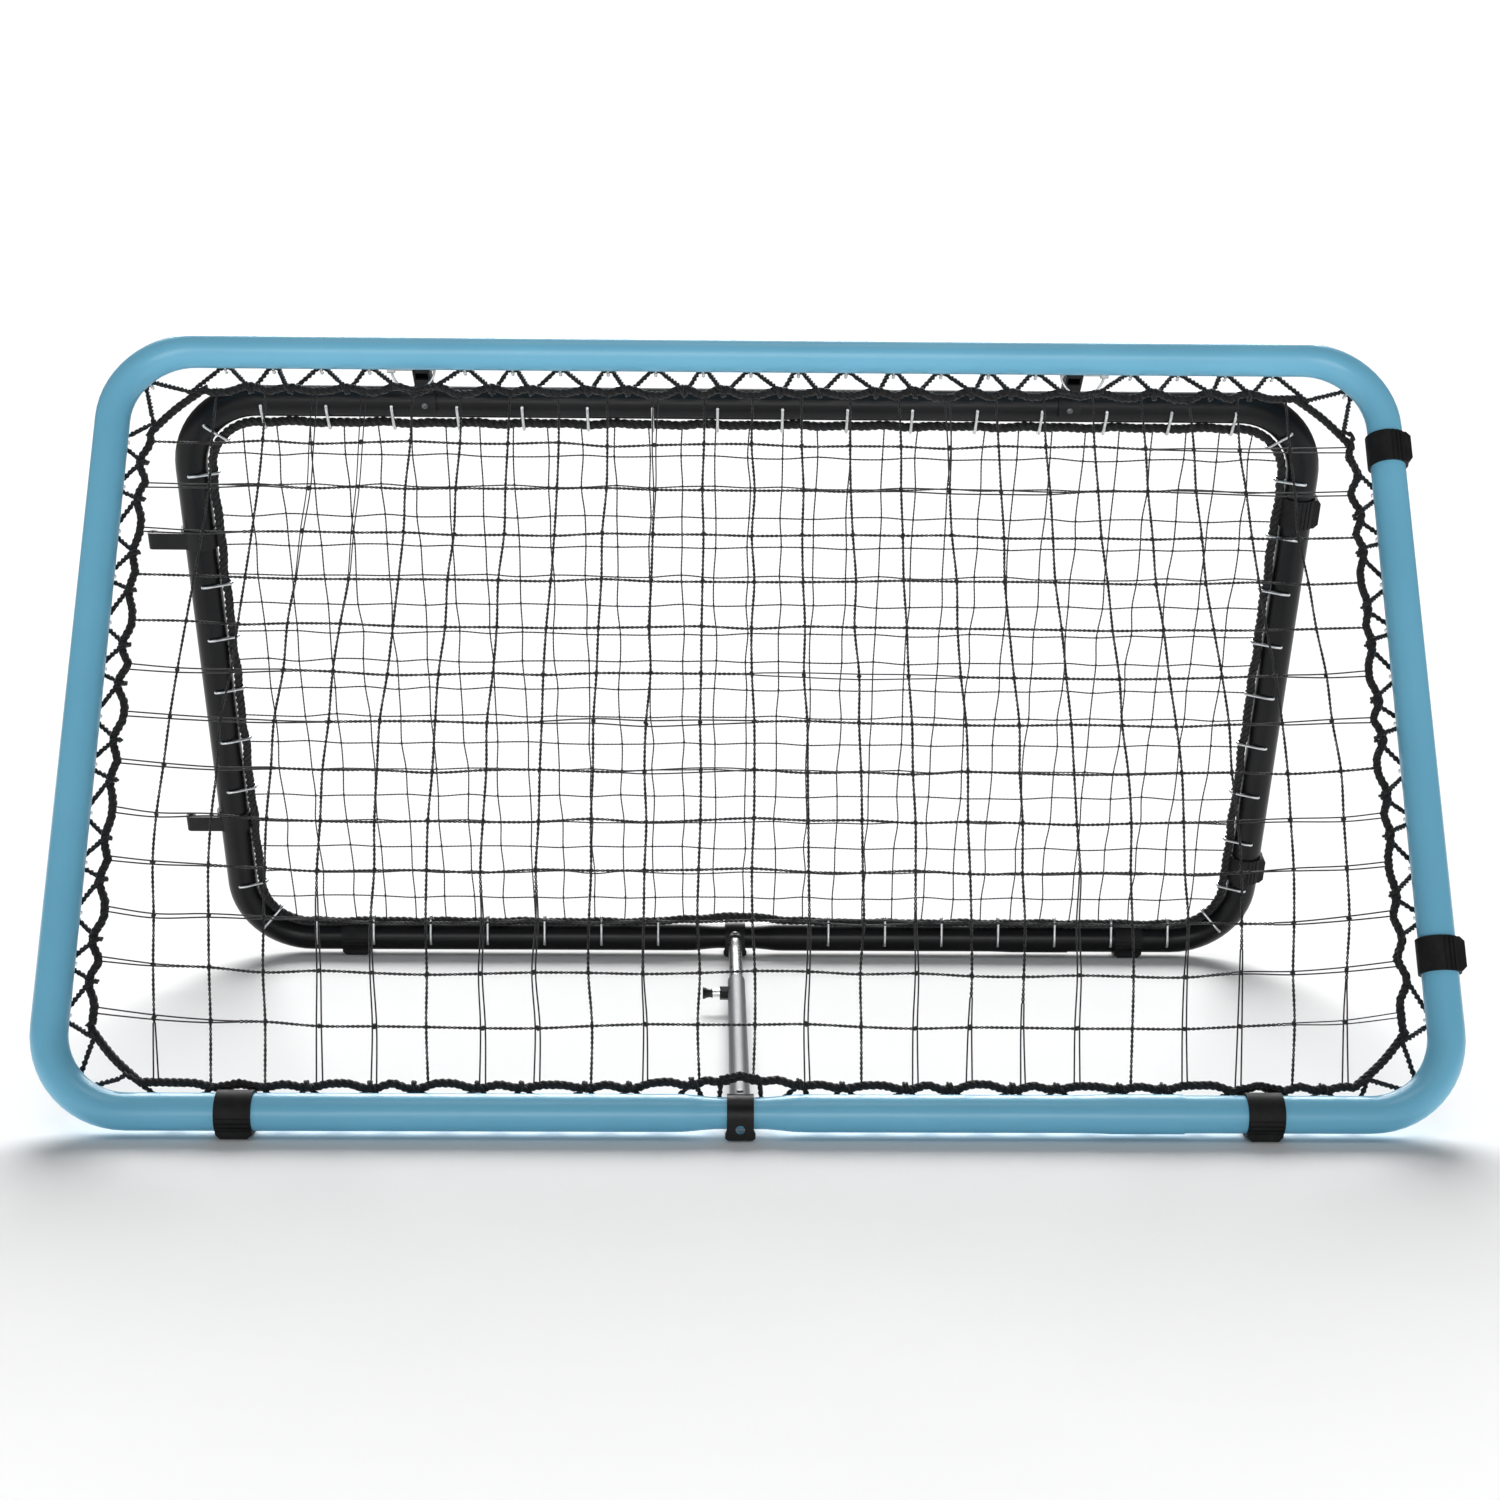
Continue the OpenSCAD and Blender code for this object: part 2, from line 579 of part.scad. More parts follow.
// A strap that hooks over a neck, open at the bottom, with a leg in front and behind
module strap(in_r) {
    out_r = in_r + strap_wall;
    difference() {
        union() {
            rotate([90, 0, 90]) linear_extrude(height = strap_w, center = true) difference() {
                union() {
                    circle(r = out_r);
                    translate([-out_r, -strap_leg / 2]) square([2 * out_r, strap_leg / 2]);
                }
                circle(r = in_r);
                translate([-in_r, -strap_leg]) square([2 * in_r, strap_leg]);
                translate([-out_r - 1, -strap_leg - out_r]) square([2 * out_r + 2, strap_leg / 2 + out_r]);
            }
            for (s = [-1, 1]) translate([0, s * (out_r - strap_wall / 2), 0]) rotate([90, 0, 0])
                linear_extrude(height = strap_wall, center = true) polygon([
                    [-strap_w / 2, -strap_leg / 2], [strap_w / 2, -strap_leg / 2],
                    [strap_w / 2 + leg_flare, -strap_leg * 0.7], [strap_w / 2 + leg_flare, -strap_leg + 2],
                    [strap_w / 2 - 1, -strap_leg], [1 - strap_w / 2, -strap_leg],
                    [-strap_w / 2 - leg_flare, -strap_leg + 2], [-strap_w / 2 - leg_flare, -strap_leg * 0.7]]);
        }
        translate([0, 0, 8.7 - strap_leg]) rotate([90, 0, 0])
            cylinder(d = strap_hole_d, h = 4 * in_r, center = true);
    }
}

module front_tube() { color("skyblue") on_front() frame_tube(front_w, front_h); }
module rear_tube() { color([0.1, 0.1, 0.11]) on_rear() frame_tube(rear_w, rear_h); }

front_field_w = front_w - 2 * front_rope_side;
front_field_h = front_h - front_rope_top - front_rope_bottom;
front_field_z = (front_h + front_rope_bottom - front_rope_top) / 2;
rear_field_w = rear_w - 2 * rear_rope_in;
rear_field_h = rear_h - 2 * rear_rope_in;
module front_net() {
    color([0.15, 0.15, 0.16]) on_front() translate([0, front_net_w, front_field_z])
        net(front_field_w, front_field_h, front_rope_corner, front_cols, front_rows, front_cord);
}
module front_border_rope() {
    color([0.08, 0.08, 0.09]) on_front() translate([0, front_net_w, front_field_z])
        round_loop(front_field_w, front_field_h, front_rope_corner, rope_r, $fn = 32);
}
module rear_net() {
    color([0.15, 0.15, 0.16]) on_rear() translate([0, rear_net_w, rear_h / 2])
        net(rear_field_w, rear_field_h, rear_rope_corner, rear_cols, rear_rows, rear_cord);
}
module rear_border_rope() {
    color([0.08, 0.08, 0.09]) on_rear() translate([0, rear_net_w, rear_h / 2])
        round_loop(rear_field_w, rear_field_h, rear_rope_corner, rope_r, $fn = 32);
}
module front_lacing() { color([0.1, 0.1, 0.1]) on_front() closed_cord(lace_points(), lace_r); }
module front_hooks() {
    color("silver") on_front()
        hook_set(front_w, front_h, front_hooks_low, front_hooks_top, front_hooks_left, front_hooks_right,
            lace_r, front_reach, front_leave, -1);
}
module rear_hooks() {
    color("silver") on_rear()
        hook_set(rear_w, rear_h, rear_hooks_low, rear_hooks_top, rear_hooks_left, rear_hooks_right,
            rope_r, rear_reach, rear_leave, 1);
}

module bottom_foot(x, y) { color([0.12, 0.12, 0.12]) place() translate([x, y, axle_z]) foot(); }
module front_foot_left() { bottom_foot(-foot_x, 0); }
module front_foot_right() { bottom_foot(foot_x, 0); }
module rear_foot_left() { bottom_foot(-foot_x, base_depth); }
module rear_foot_right() { bottom_foot(foot_x, base_depth); }
module front_bumper_lower() { color([0.12, 0.12, 0.12]) on_front() side_bumper(front_w, front_bumper_low); }
module front_bumper_upper() { color([0.12, 0.12, 0.12]) on_front() side_bumper(front_w, front_bumper_high); }
module rear_bumper_lower() { color([0.12, 0.12, 0.12]) on_rear() side_bumper(rear_w, rear_bumper_low); }
module rear_bumper_upper() { color([0.12, 0.12, 0.12]) on_rear() side_bumper(rear_w, rear_bumper_high); }
module link_eye_upper() { color([0.13, 0.13, 0.13]) on_rear() link_eye(eye_high); }
module link_eye_lower() { color([0.13, 0.13, 0.13]) on_rear() link_eye(eye_low); }

module hinge_lug_left() { color([0.1, 0.1, 0.1]) hinge_lug(arm_left_x); }
module hinge_lug_right() { color([0.1, 0.1, 0.1]) hinge_lug(arm_right_x); }
module lug_rivets() {
    color("dimgray") for (x = arms, s = [-1, 1])
        at_front_top(x + s * (lug_w / 2 + lug_foot_w / 2) / 2) translate([0, tube_r + saddle_wall, 0])
            rotate([-90, 0, 0]) rivet(saddle_wall + tube_wall + 1);
}
module hinge_pin_left() { color("silver") hinge_pin(arm_left_x, -1); }
module hinge_pin_right() { color("silver") hinge_pin(arm_right_x, 1); }
module snap_ring_left() { color("silver") snap_ring(arm_left_x, -1); }
module snap_ring_right() { color("silver") snap_ring(arm_right_x, 1); }
module hinge_arm_left() { color([0.1, 0.1, 0.1]) hinge_arm(arm_left_x); }
module hinge_arm_right() { color([0.1, 0.1, 0.1]) hinge_arm(arm_right_x); }
arm_rivet_angle = 54;
module arm_rivets() {
    color("dimgray") for (x = arms, s = [-1, 1])
        at_pivot(x, arm_tilt) translate([0, arm_run, 0]) rotate([90 + s * arm_rivet_angle, 0, 0])
            translate([0, 0, tube_r + saddle_wall]) rivet(saddle_wall + tube_wall + 1);
}

// Places a module on the strut's line
module on_strut() {
    place() translate([strut_x, 0, axle_z]) children();
}

// A straight round bar along Y, from one distance to another
module bar_y(r, from, to) {
    translate([0, from, 0]) rotate([-90, 0, 0]) cylinder(r = r, h = to - from);
}

front_strap_back = strap_in_r + strap_wall;
module strut_outer_tube() {
    color([0.42, 0.44, 0.45]) on_strut() difference() {
        bar_y(strut_r, front_strap_back, strut_mouth);
        bar_y(strut_bore_r, front_strap_back - 1, strut_mouth + 1);
        translate([-strut_r, pin_y, 0]) bar_x(tip_r + run_gap, 2 * strut_wall + 2);
    }
}
module front_strap() {
    color([0.1, 0.1, 0.1]) on_strut() union() {
        strap(strap_in_r);
        bar_y(strut_bore_r - seat_gap, front_strap_back - strap_wall / 2, front_strap_back + spigot_l);
    }
}
module guide_bush() {
    color([0.2, 0.2, 0.2]) on_strut() difference() {
        bar_y(strut_bore_r - seat_gap, strut_mouth - bush_l, strut_mouth);
        bar_y(inner_r + run_gap, strut_mouth - bush_l - 1, strut_mouth + 1);
    }
}
module strut_inner_tube() {
    color([0.75, 0.76, 0.78]) on_strut() difference() {
        bar_y(inner_r, inner_start, inner_end);
        bar_y(inner_r - strut_wall, inner_start - 1, inner_end + 1);
        for (i = [-holes_in:holes_out])
            translate([-inner_r, pin_y + i * hole_pitch, 0]) bar_x(hole_d / 2, 2 * strut_wall + 2);
    }
}
module rear_strap() {
    color([0.1, 0.1, 0.1]) on_strut() difference() {
        union() {
            translate([0, base_depth, 0]) strap(rear_strap_in_r);
            bar_y(inner_r + strap_wall, inner_end - socket_l, inner_end + strap_wall / 2);
        }
        bar_y(inner_r + seat_gap, inner_end - socket_l - 1, inner_end);
    }
}
module front_strap_rivet() {
    color("dimgray") on_strut() translate([0, front_strap_back + spigot_l / 2, strut_r]) rivet(strut_wall + 3);
}
module rear_strap_rivet() {
    color("dimgray") on_strut() translate([0, inner_end - socket_l / 2, inner_r + strap_wall])
        rivet(strap_wall + strut_wall + 1);
}
module pin_nut() {
    color([0.1, 0.1, 0.1]) on_strut() translate([0, pin_y, 0]) rotate([0, -90, 0]) difference() {
        translate([0, 0, strut_r - 2]) cylinder(d = nut_flats / cos(30), h = nut_l + 2, $fn = 6);
        translate([0, 0, strut_r - 3]) cylinder(r = chamber_r, h = nut_l + 3 - lip_l);
        cylinder(r = shank_r + run_gap, h = strut_r + nut_l + 1);
        rotate([90, 0, 0]) cylinder(r = strut_r + seat_gap, h = 4 * nut_l, center = true);
    }
}
module pin_plunger() {
    color("silver") on_strut() translate([0, pin_y, 0]) rotate([0, -90, 0]) {
        translate([0, 0, tip_park]) cylinder(r = tip_r, h = shank_end - tip_park);
        translate([0, 0, shank_end]) cylinder(r = collar_r, h = collar_l);
        translate([0, 0, shank_end]) cylinder(r = shank_r, h = strut_r + nut_l + shank_show - shank_end);
    }
}
knob_start = strut_r + nut_l + shank_show;
module pin_knob() {
    color([0.08, 0.08, 0.08]) on_strut() translate([0, pin_y, 0]) rotate([0, -90, 0])
        rotate_extrude() polygon([[0, knob_start], [shank_r + 0.5, knob_start],
            [shank_r, knob_start + knob_l * 0.3],
            [shank_r + 0.6, knob_start + knob_l * 0.6], [shank_r + 1.9, knob_start + knob_l * 0.9],
            [shank_r + 1.6, knob_start + knob_l], [0, knob_start + knob_l]]);
}

// The pull pin's spring: flat wound between the collar and the nut's lip
function coil_point(t, r, rise, z0) = [r * cos(360 * t), r * sin(360 * t), z0 + rise * t];
module coil(r, wire_r, turns, z0, z1) {
    steps = turns * 12;
    sides = 6;
    rise = (z1 - z0) / turns;
    rings = [for (i = [0:steps]) let (t = i / 12, p = coil_point(t, r, rise, z0)) for (k = [0:sides - 1])
        p + wire_r * (cos(60 * k) * [cos(360 * t), sin(360 * t), 0] + sin(60 * k) * [0, 0, 1])];
    last = steps * sides;
    polyhedron(points = rings, faces = concat(
        [for (i = [0:steps - 1], k = [0:sides - 1]) let (a = i * sides, b = a + sides, k2 = (k + 1) % sides)
            for (q = [[a + k, b + k2, b + k], [a + k, a + k2, b + k2]]) q],
        [[for (k = [sides - 1:-1:0]) k]], [[for (k = [0:sides - 1]) last + k]]));
}
module pin_spring() {
    spring_r = (shank_r + chamber_r) / 2;
    color("silver") on_strut() translate([0, pin_y, 0]) rotate([0, -90, 0])
        coil(spring_r, spring_wire / 2, spring_turns, shank_end + collar_l + spring_wire / 2 + 0.05,
            strut_r + nut_l - lip_l - spring_wire / 2 - 0.05);
}

front_tube();
front_net();
front_border_rope();
front_lacing();
front_hooks();
front_foot_left();
front_foot_right();
front_bumper_lower();
front_bumper_upper();
hinge_lug_left();
hinge_lug_right();
lug_rivets();
hinge_pin_left();
snap_ring_left();
hinge_pin_right();
snap_ring_right();
rear_tube();
rear_net();
rear_border_rope();
rear_hooks();
rear_foot_left();
rear_foot_right();
rear_bumper_lower();
rear_bumper_upper();
link_eye_upper();
link_eye_lower();
hinge_arm_left();
hinge_arm_right();
arm_rivets();
strut_outer_tube();
front_strap();
guide_bush();
pin_nut();
pin_spring();
pin_plunger();
pin_knob();
front_strap_rivet();
strut_inner_tube();
rear_strap();
rear_strap_rivet();
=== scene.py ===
import math
import random

import bpy
from mathutils import Matrix, Vector


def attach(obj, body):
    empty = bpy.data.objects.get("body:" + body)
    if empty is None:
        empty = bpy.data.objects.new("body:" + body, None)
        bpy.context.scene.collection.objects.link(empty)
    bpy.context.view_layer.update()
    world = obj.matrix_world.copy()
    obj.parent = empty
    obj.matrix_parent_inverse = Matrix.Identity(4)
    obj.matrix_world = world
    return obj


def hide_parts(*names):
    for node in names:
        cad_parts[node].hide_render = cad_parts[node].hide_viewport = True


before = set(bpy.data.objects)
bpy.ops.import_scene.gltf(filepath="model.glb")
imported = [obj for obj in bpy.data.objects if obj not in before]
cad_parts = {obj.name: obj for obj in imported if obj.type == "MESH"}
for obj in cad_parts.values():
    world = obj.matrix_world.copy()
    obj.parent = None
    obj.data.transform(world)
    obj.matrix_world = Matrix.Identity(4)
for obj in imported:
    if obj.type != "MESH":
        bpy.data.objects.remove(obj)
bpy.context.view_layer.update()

# Camera: a little left of the middle, above the top tubes and looking slightly down.
# Its view is the only thing that is tied to one angle; every piece is whole all round.
camera_data = bpy.data.cameras.new("camera")
camera_data.lens = 51.38
camera_data.sensor_width = 36
camera = bpy.data.objects.new("camera", camera_data)
right = Vector((0.999869, -0.014228, 0.007680))
ahead = Vector((0.015251, 0.987680, -0.155742))
up = Vector((-0.005370, 0.155839, 0.987768))
stand = Vector((-0.03148, -1.99634, 0.58975))
camera.matrix_world = Matrix((
    (right.x, up.x, -ahead.x, stand.x),
    (right.y, up.y, -ahead.y, stand.y),
    (right.z, up.z, -ahead.z, stand.z),
    (0, 0, 0, 1)))
bpy.context.scene.collection.objects.link(camera)
bpy.context.scene.camera = camera
bpy.context.scene.view_settings.view_transform = "Standard"

# Front tube: one round steel tube bent into a loop with four wide corners. Its ends meet low
# down in the middle, where it is drawn in to a neck. It has a smooth light blue powder coat.

# Width and height between the tube's centres and the bottom tube's place, in millimetres, the
# lean from upright in radians, and the way from this frame to the other: 1 back, -1 forward.
FRONT = {"w": 1165.0, "h": 700.0, "lean": math.radians(27.25), "y": 0.0, "way": 1}
CORNER_R = 70.0
GRAIN_DETAIL, GLOSS_FINER, COAT_ROUGH = 3.0, 2.3, 0.12
TONE_START, TONE_END = 0.35, 0.65


def new_material(name):
    """An empty node material with its Principled shader and object coordinates."""
    mat = bpy.data.materials.new(name)
    mat.use_nodes = True
    tree = mat.node_tree
    shader = tree.nodes["Principled BSDF"]
    coords = tree.nodes.new("ShaderNodeTexCoord")
    return mat, tree, shader, coords.outputs["Object"]


def noise(tree, vector, scale, stretch=None):
    """A noise texture's value, on coordinates that may be stretched first."""
    if stretch:
        mapping = tree.nodes.new("ShaderNodeMapping")
        mapping.inputs["Scale"].default_value = stretch
        tree.links.new(vector, mapping.inputs["Vector"])
        vector = mapping.outputs["Vector"]
    node = tree.nodes.new("ShaderNodeTexNoise")
    node.inputs["Scale"].default_value = scale
    node.inputs["Detail"].default_value = GRAIN_DETAIL
    tree.links.new(vector, node.inputs["Vector"])
    return node.outputs["Fac"]


def tones(tree, fac, low, high):
    """Two colours mixed by a value."""
    node = tree.nodes.new("ShaderNodeValToRGB")
    node.color_ramp.elements[0].position = TONE_START
    node.color_ramp.elements[0].color = (*low, 1)
    node.color_ramp.elements[1].position = TONE_END
    node.color_ramp.elements[1].color = (*high, 1)
    tree.links.new(fac, node.inputs["Fac"])
    return node.outputs["Color"]


def spread(tree, fac, low, high):
    """A value mapped from 0..1 to low..high."""
    node = tree.nodes.new("ShaderNodeMapRange")
    node.inputs["To Min"].default_value = low
    node.inputs["To Max"].default_value = high
    tree.links.new(fac, node.inputs["Value"])
    return node.outputs["Result"]


def bump(tree, shader, height, strength, distance):
    """A bump from a height value."""
    node = tree.nodes.new("ShaderNodeBump")
    node.inputs["Strength"].default_value = strength
    node.inputs["Distance"].default_value = distance
    tree.links.new(height, node.inputs["Height"])
    tree.links.new(node.outputs["Normal"], shader.inputs["Normal"])


def surface(name, low, high, rough, metallic=0.0, coat=0.0, specular=0.5, scale=60.0,
            grain=None, stretch=None, sheen=0.0):
    """Two close tones, a roughness range and an optional grain of (scale, strength, depth)."""
    mat, tree, shader, vector = new_material(name)
    fac = noise(tree, vector, scale, stretch=stretch)
    gloss = noise(tree, vector, scale * GLOSS_FINER)
    tree.links.new(tones(tree, fac, low, high), shader.inputs["Base Color"])
    tree.links.new(spread(tree, gloss, *rough), shader.inputs["Roughness"])
    shader.inputs["Metallic"].default_value = metallic
    shader.inputs["Coat Weight"].default_value = coat
    shader.inputs["Coat Roughness"].default_value = COAT_ROUGH
    shader.inputs["Specular IOR Level"].default_value = specular
    shader.inputs["Sheen Weight"].default_value = sheen
    if grain:
        bump(tree, shader, noise(tree, vector, grain[0]), grain[1], grain[2])
    return mat


def dress(material, *nodes):
    """Gives CAD solids their finish; their shape stays as it is."""
    for node in nodes:
        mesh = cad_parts[node].data
        mesh.materials.clear()
        mesh.materials.append(material)


blue_paint = surface("blue_paint", (0.18, 0.52, 0.735), (0.195, 0.55, 0.77), (0.3, 0.4),
                     coat=0.15, specular=0.35, scale=9.0, grain=(45.0, 0.04, 0.001))
dress(blue_paint, "front_tube")

# Front feet and bumpers: moulded black rubber bands that grip the tube, grooved along both
# faces, with a bevelled pad. Two stand on the floor and two face outwards on the right side.

# Each one's place along its tube and half its length, in millimetres.
FEET, BUMPERS = ((-423, 15), (423, 15)), ((134, 15), (606, 15))
foot_rubber = surface("foot_rubber", (0.009, 0.009, 0.0095), (0.015, 0.015, 0.016), (0.5, 0.7),
                      scale=90.0, grain=(600.0, 0.25, 0.0004), specular=0.2)
dress(foot_rubber, "front_foot_left", "front_foot_right", "front_bumper_lower",
      "front_bumper_upper")

# Hinge lugs: steel saddles riveted behind the blue top tube, one for each arm, with a nose
# that the hinge pin goes through. They have a fine black coat; the rivets are of dull steel.
LUGS = ((-309, 15), (305, 15))
bracket_paint = surface("bracket_paint", (0.006, 0.006, 0.0065), (0.012, 0.012, 0.0125),
                        (0.35, 0.5), specular=0.25, scale=40.0, grain=(220.0, 0.12, 0.0006))
rivet_steel = surface("rivet_steel", (0.10, 0.10, 0.105), (0.2, 0.2, 0.21), (0.35, 0.5),
                      metallic=0.7, scale=200.0)
dress(bracket_paint, "hinge_lug_left", "hinge_lug_right")
dress(rivet_steel, "lug_rivets")

# Front hooks: bent from zinc-plated wire and hung in holes along the inner side of the blue
# tube, at one pitch on every side. A hook is left out where a foot, a lug, a bumper or the
# strut's strap is in the way.

# Millimetres along each side: the hooks' pitch, the room beside what is in the way and at the
# bends, and the strut's strap.
HOOK_PITCH, HOOK_ROOM, HOOK_END = 44.4, 7.5, 2
STRUT_X, STRAP_HALF = -9, 12.5
LOW_BLOCKS = (FEET[0], (STRUT_X, STRAP_HALF), FEET[1])


def hook_spots(straight, middle, shift, blocks):
    """Where the hooks of one side are, less those that something is in the way of."""
    count = int((straight - 2 * HOOK_END) // HOOK_PITCH) + 1
    first = middle + shift - (count - 1) / 2 * HOOK_PITCH
    spots = [first + i * HOOK_PITCH for i in range(-1, count + 1)]
    return [v for v in spots if abs(v - middle) <= straight / 2 - HOOK_END
            and all(abs(v - place) >= half + HOOK_ROOM for place, half in blocks)]


ACROSS, ALONG = FRONT["w"] - 2 * CORNER_R, FRONT["h"] - 2 * CORNER_R
front_low = hook_spots(ACROSS, 0, STRUT_X + HOOK_PITCH / 2, LOW_BLOCKS)
front_top = hook_spots(ACROSS, 0, 0, LUGS)
front_left = hook_spots(ALONG, FRONT["h"] / 2, 0, ())
front_right = hook_spots(ALONG, FRONT["h"] / 2, 0, BUMPERS)
zinc_wire = surface("zinc_wire", (0.58, 0.59, 0.6), (0.78, 0.79, 0.8), (0.25, 0.42),
                    metallic=1.0, scale=150.0)
dress(zinc_wire, "front_hooks")

# Front border rope: a thick black rope of three strands all round the net. The lacing draws
# it out at each turn, so it runs in scallops, and at the bottom it rides up over the strut.

# How far the rope lies inside the tube's centre on each side, and its bends.
ROPE_TOP, ROPE_SIDE, ROPE_LOW, ROPE_BEND = 34.0, 30.0, 23.0, 50.0
FIELD_HALF = FRONT["w"] / 2 - ROPE_SIDE
FIELD_HIGH = FRONT["h"] - ROPE_TOP
# How far the net's plane lies off the tube's centre, and where the object's origin lies as
# seen from the middle of the front's bottom tube: across, back and down.
FRONT_NET_W = 8.2
MID_X, MID_Y, AXLE_Z = 2.0, 301.0, 19.5
# The lacing's turns: their room beside a block, and their step to and fro along the rope.
CORD_ROOM, STOP_STAGGER = 3.25, 4
# The scallops, the rise over the strut, and how far a bend is cut short by the rope's pull.
SCALLOP_DEPTH = {"low": 2.0, "right": 3.0, "top": 3.0, "left": 3.0}
SCALLOP_LENGTH, UNEVEN, UNEVEN_LENGTH = 44, 0.35, 37.0
RISE, FRONT_RISE_LENGTH = 7.5, 48
FRONT_CORNER_CUT = 0.8
# The rope's three strands in metres: off its middle, round it, and their own thickness.
ROPE_STEP = 2.6
STRAND_OFF, STRAND_PITCH, STRAND_R = 0.0019, 0.017, 0.0021
OUTWARD = Vector((0.0, 0.8, 0.6))
rope = surface("rope", (0.005, 0.005, 0.0055), (0.018, 0.018, 0.02), (0.55, 0.85), scale=260.0,
               grain=(900.0, 0.6, 0.0006), sheen=0.12, specular=0.3)


def on_frame(side, u, v, w):
    """A point of a frame in metres: u across, v up its plane, w away from it to the other frame."""
    c, s = math.cos(side["lean"]), math.sin(side["lean"])
    y = side["y"] + side["way"] * (w * c + v * s)
    return Vector((u - MID_X, y - MID_Y, AXLE_Z - w * s + v * c)) / 1000


def new_tree(name, sizes):
    """An empty geometry node group with named inputs for its sizes and its finish."""
    group = bpy.data.node_groups.new(name, "GeometryNodeTree")
    face = group.interface
    face.new_socket("Geometry", in_out="INPUT", socket_type="NodeSocketGeometry")
    keys = {}
    for label, kind in (*sizes, ("Finish", "NodeSocketMaterial")):
        keys[label] = face.new_socket(label, in_out="INPUT", socket_type=kind).identifier
    face.new_socket("Geometry", in_out="OUTPUT", socket_type="NodeSocketGeometry")
    return group, keys


def end_tree(group, given, geometry):
    """Ends a node group: instances made real, then the finish."""
    real = group.nodes.new("GeometryNodeRealizeInstances")
    finish = group.nodes.new("GeometryNodeSetMaterial")
    result = group.nodes.new("NodeGroupOutput")
    group.links.new(geometry, real.inputs["Geometry"])
    group.links.new(real.outputs["Geometry"], finish.inputs["Geometry"])
    group.links.new(given.outputs["Finish"], finish.inputs["Material"])
    group.links.new(finish.outputs["Geometry"], result.inputs["Geometry"])


def cord_tree():
    """Turns each run of edges into a curve and gives it a round section."""
    group, keys = new_tree("cord_along_runs", (("Radius", "NodeSocketFloat"),
                                               ("Sides", "NodeSocketInt")))
    make, link = group.nodes.new, group.links.new
    given = make("NodeGroupInput")
    curve = make("GeometryNodeMeshToCurve")
    tilt = make("GeometryNodeInputNamedAttribute")
    turn = make("GeometryNodeSetCurveTilt")
    section = make("GeometryNodeCurvePrimitiveCircle")
    solid = make("GeometryNodeCurveToMesh")
    smooth = make("GeometryNodeSetShadeSmooth")
    tilt.data_type = "FLOAT"
    tilt.inputs["Name"].default_value = "turn"
    solid.inputs["Fill Caps"].default_value = True
    link(given.outputs["Geometry"], curve.inputs["Mesh"])
    link(curve.outputs["Curve"], turn.inputs["Curve"])
    link(tilt.outputs["Attribute"], turn.inputs["Tilt"])
    link(given.outputs["Radius"], section.inputs["Radius"])
    link(given.outputs["Sides"], section.inputs["Resolution"])
    link(turn.outputs["Curve"], solid.inputs["Curve"])
    link(section.outputs["Curve"], solid.inputs["Profile Curve"])
    link(solid.outputs["Mesh"], smooth.inputs["Geometry"])
    end_tree(group, given, smooth.outputs["Geometry"])
    return group, keys


def grow(name, guide, tree, inputs, body, nodes=()):
    """The plain mesh that a tree makes on a guide mesh: a piece that rides on a body."""
    group, keys = tree
    source = bpy.data.objects.new(guide.name, guide)
    bpy.context.scene.collection.objects.link(source)
    modifier = source.modifiers.new("tree", "NODES")
    modifier.node_group = group
    for label, value in inputs.items():
        modifier[keys[label]] = value
    bpy.context.view_layer.update()
    ready = source.evaluated_get(bpy.context.evaluated_depsgraph_get())
    mesh = bpy.data.meshes.new_from_object(ready)
    mesh.name = name
    bpy.data.objects.remove(source)
    piece = bpy.data.objects.new(name, mesh)
    bpy.context.scene.collection.objects.link(piece)
    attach(piece, body)
    if nodes:
        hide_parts(*nodes)


CORD_TREE = cord_tree()


def cords(name, runs, radius, sides, material, body, nodes, turn=0.0):
    """Every run, a list of points and whether it closes, as cord of one radius in one piece.

    It stands for the CAD nodes named, which take its finish too."""
    dress(material, *nodes)
    points, edges, turns = [], [], []
    for line, closed in runs:
        first = len(points)
        points += [tuple(p) for p in line]
        turns += [turn * i for i in range(len(line))]
        edges += [(first + i, first + i + 1) for i in range(len(line) - 1)]
        if closed:
            edges.append((len(points) - 1, first))
    guide = bpy.data.meshes.new(name + "_runs")
    guide.from_pydata(points, edges, [])
    guide.attributes.new("turn", "FLOAT", "POINT").data.foreach_set("value", turns)
    inputs = {"Radius": radius, "Sides": sides, "Finish": material}
    grow(name, guide, CORD_TREE, inputs, body, nodes)


def strands(line, count, radius, pitch):
    """Strands that wind round a closed line, each at a radius from it and in whole turns."""
    n = len(line)
    total = sum((line[(i + 1) % n] - line[i]).length for i in range(n))
    turns = round(total / pitch)
    run, out = 0.0, [[] for _ in range(count)]
    for i in range(n):
        along = (line[(i + 1) % n] - line[i - 1]).normalized()
        normal = OUTWARD - along * along.dot(OUTWARD)
        normal.normalize()
        side = along.cross(normal)
        for k in range(count):
            angle = 2 * math.pi * (turns * run / total + k / count)
            out[k].append(line[i] + radius * (math.cos(angle) * normal + math.sin(angle) * side))
        if i < n - 1:
            run += (line[i + 1] - line[i]).length
    return [(strand, True) for strand in out]


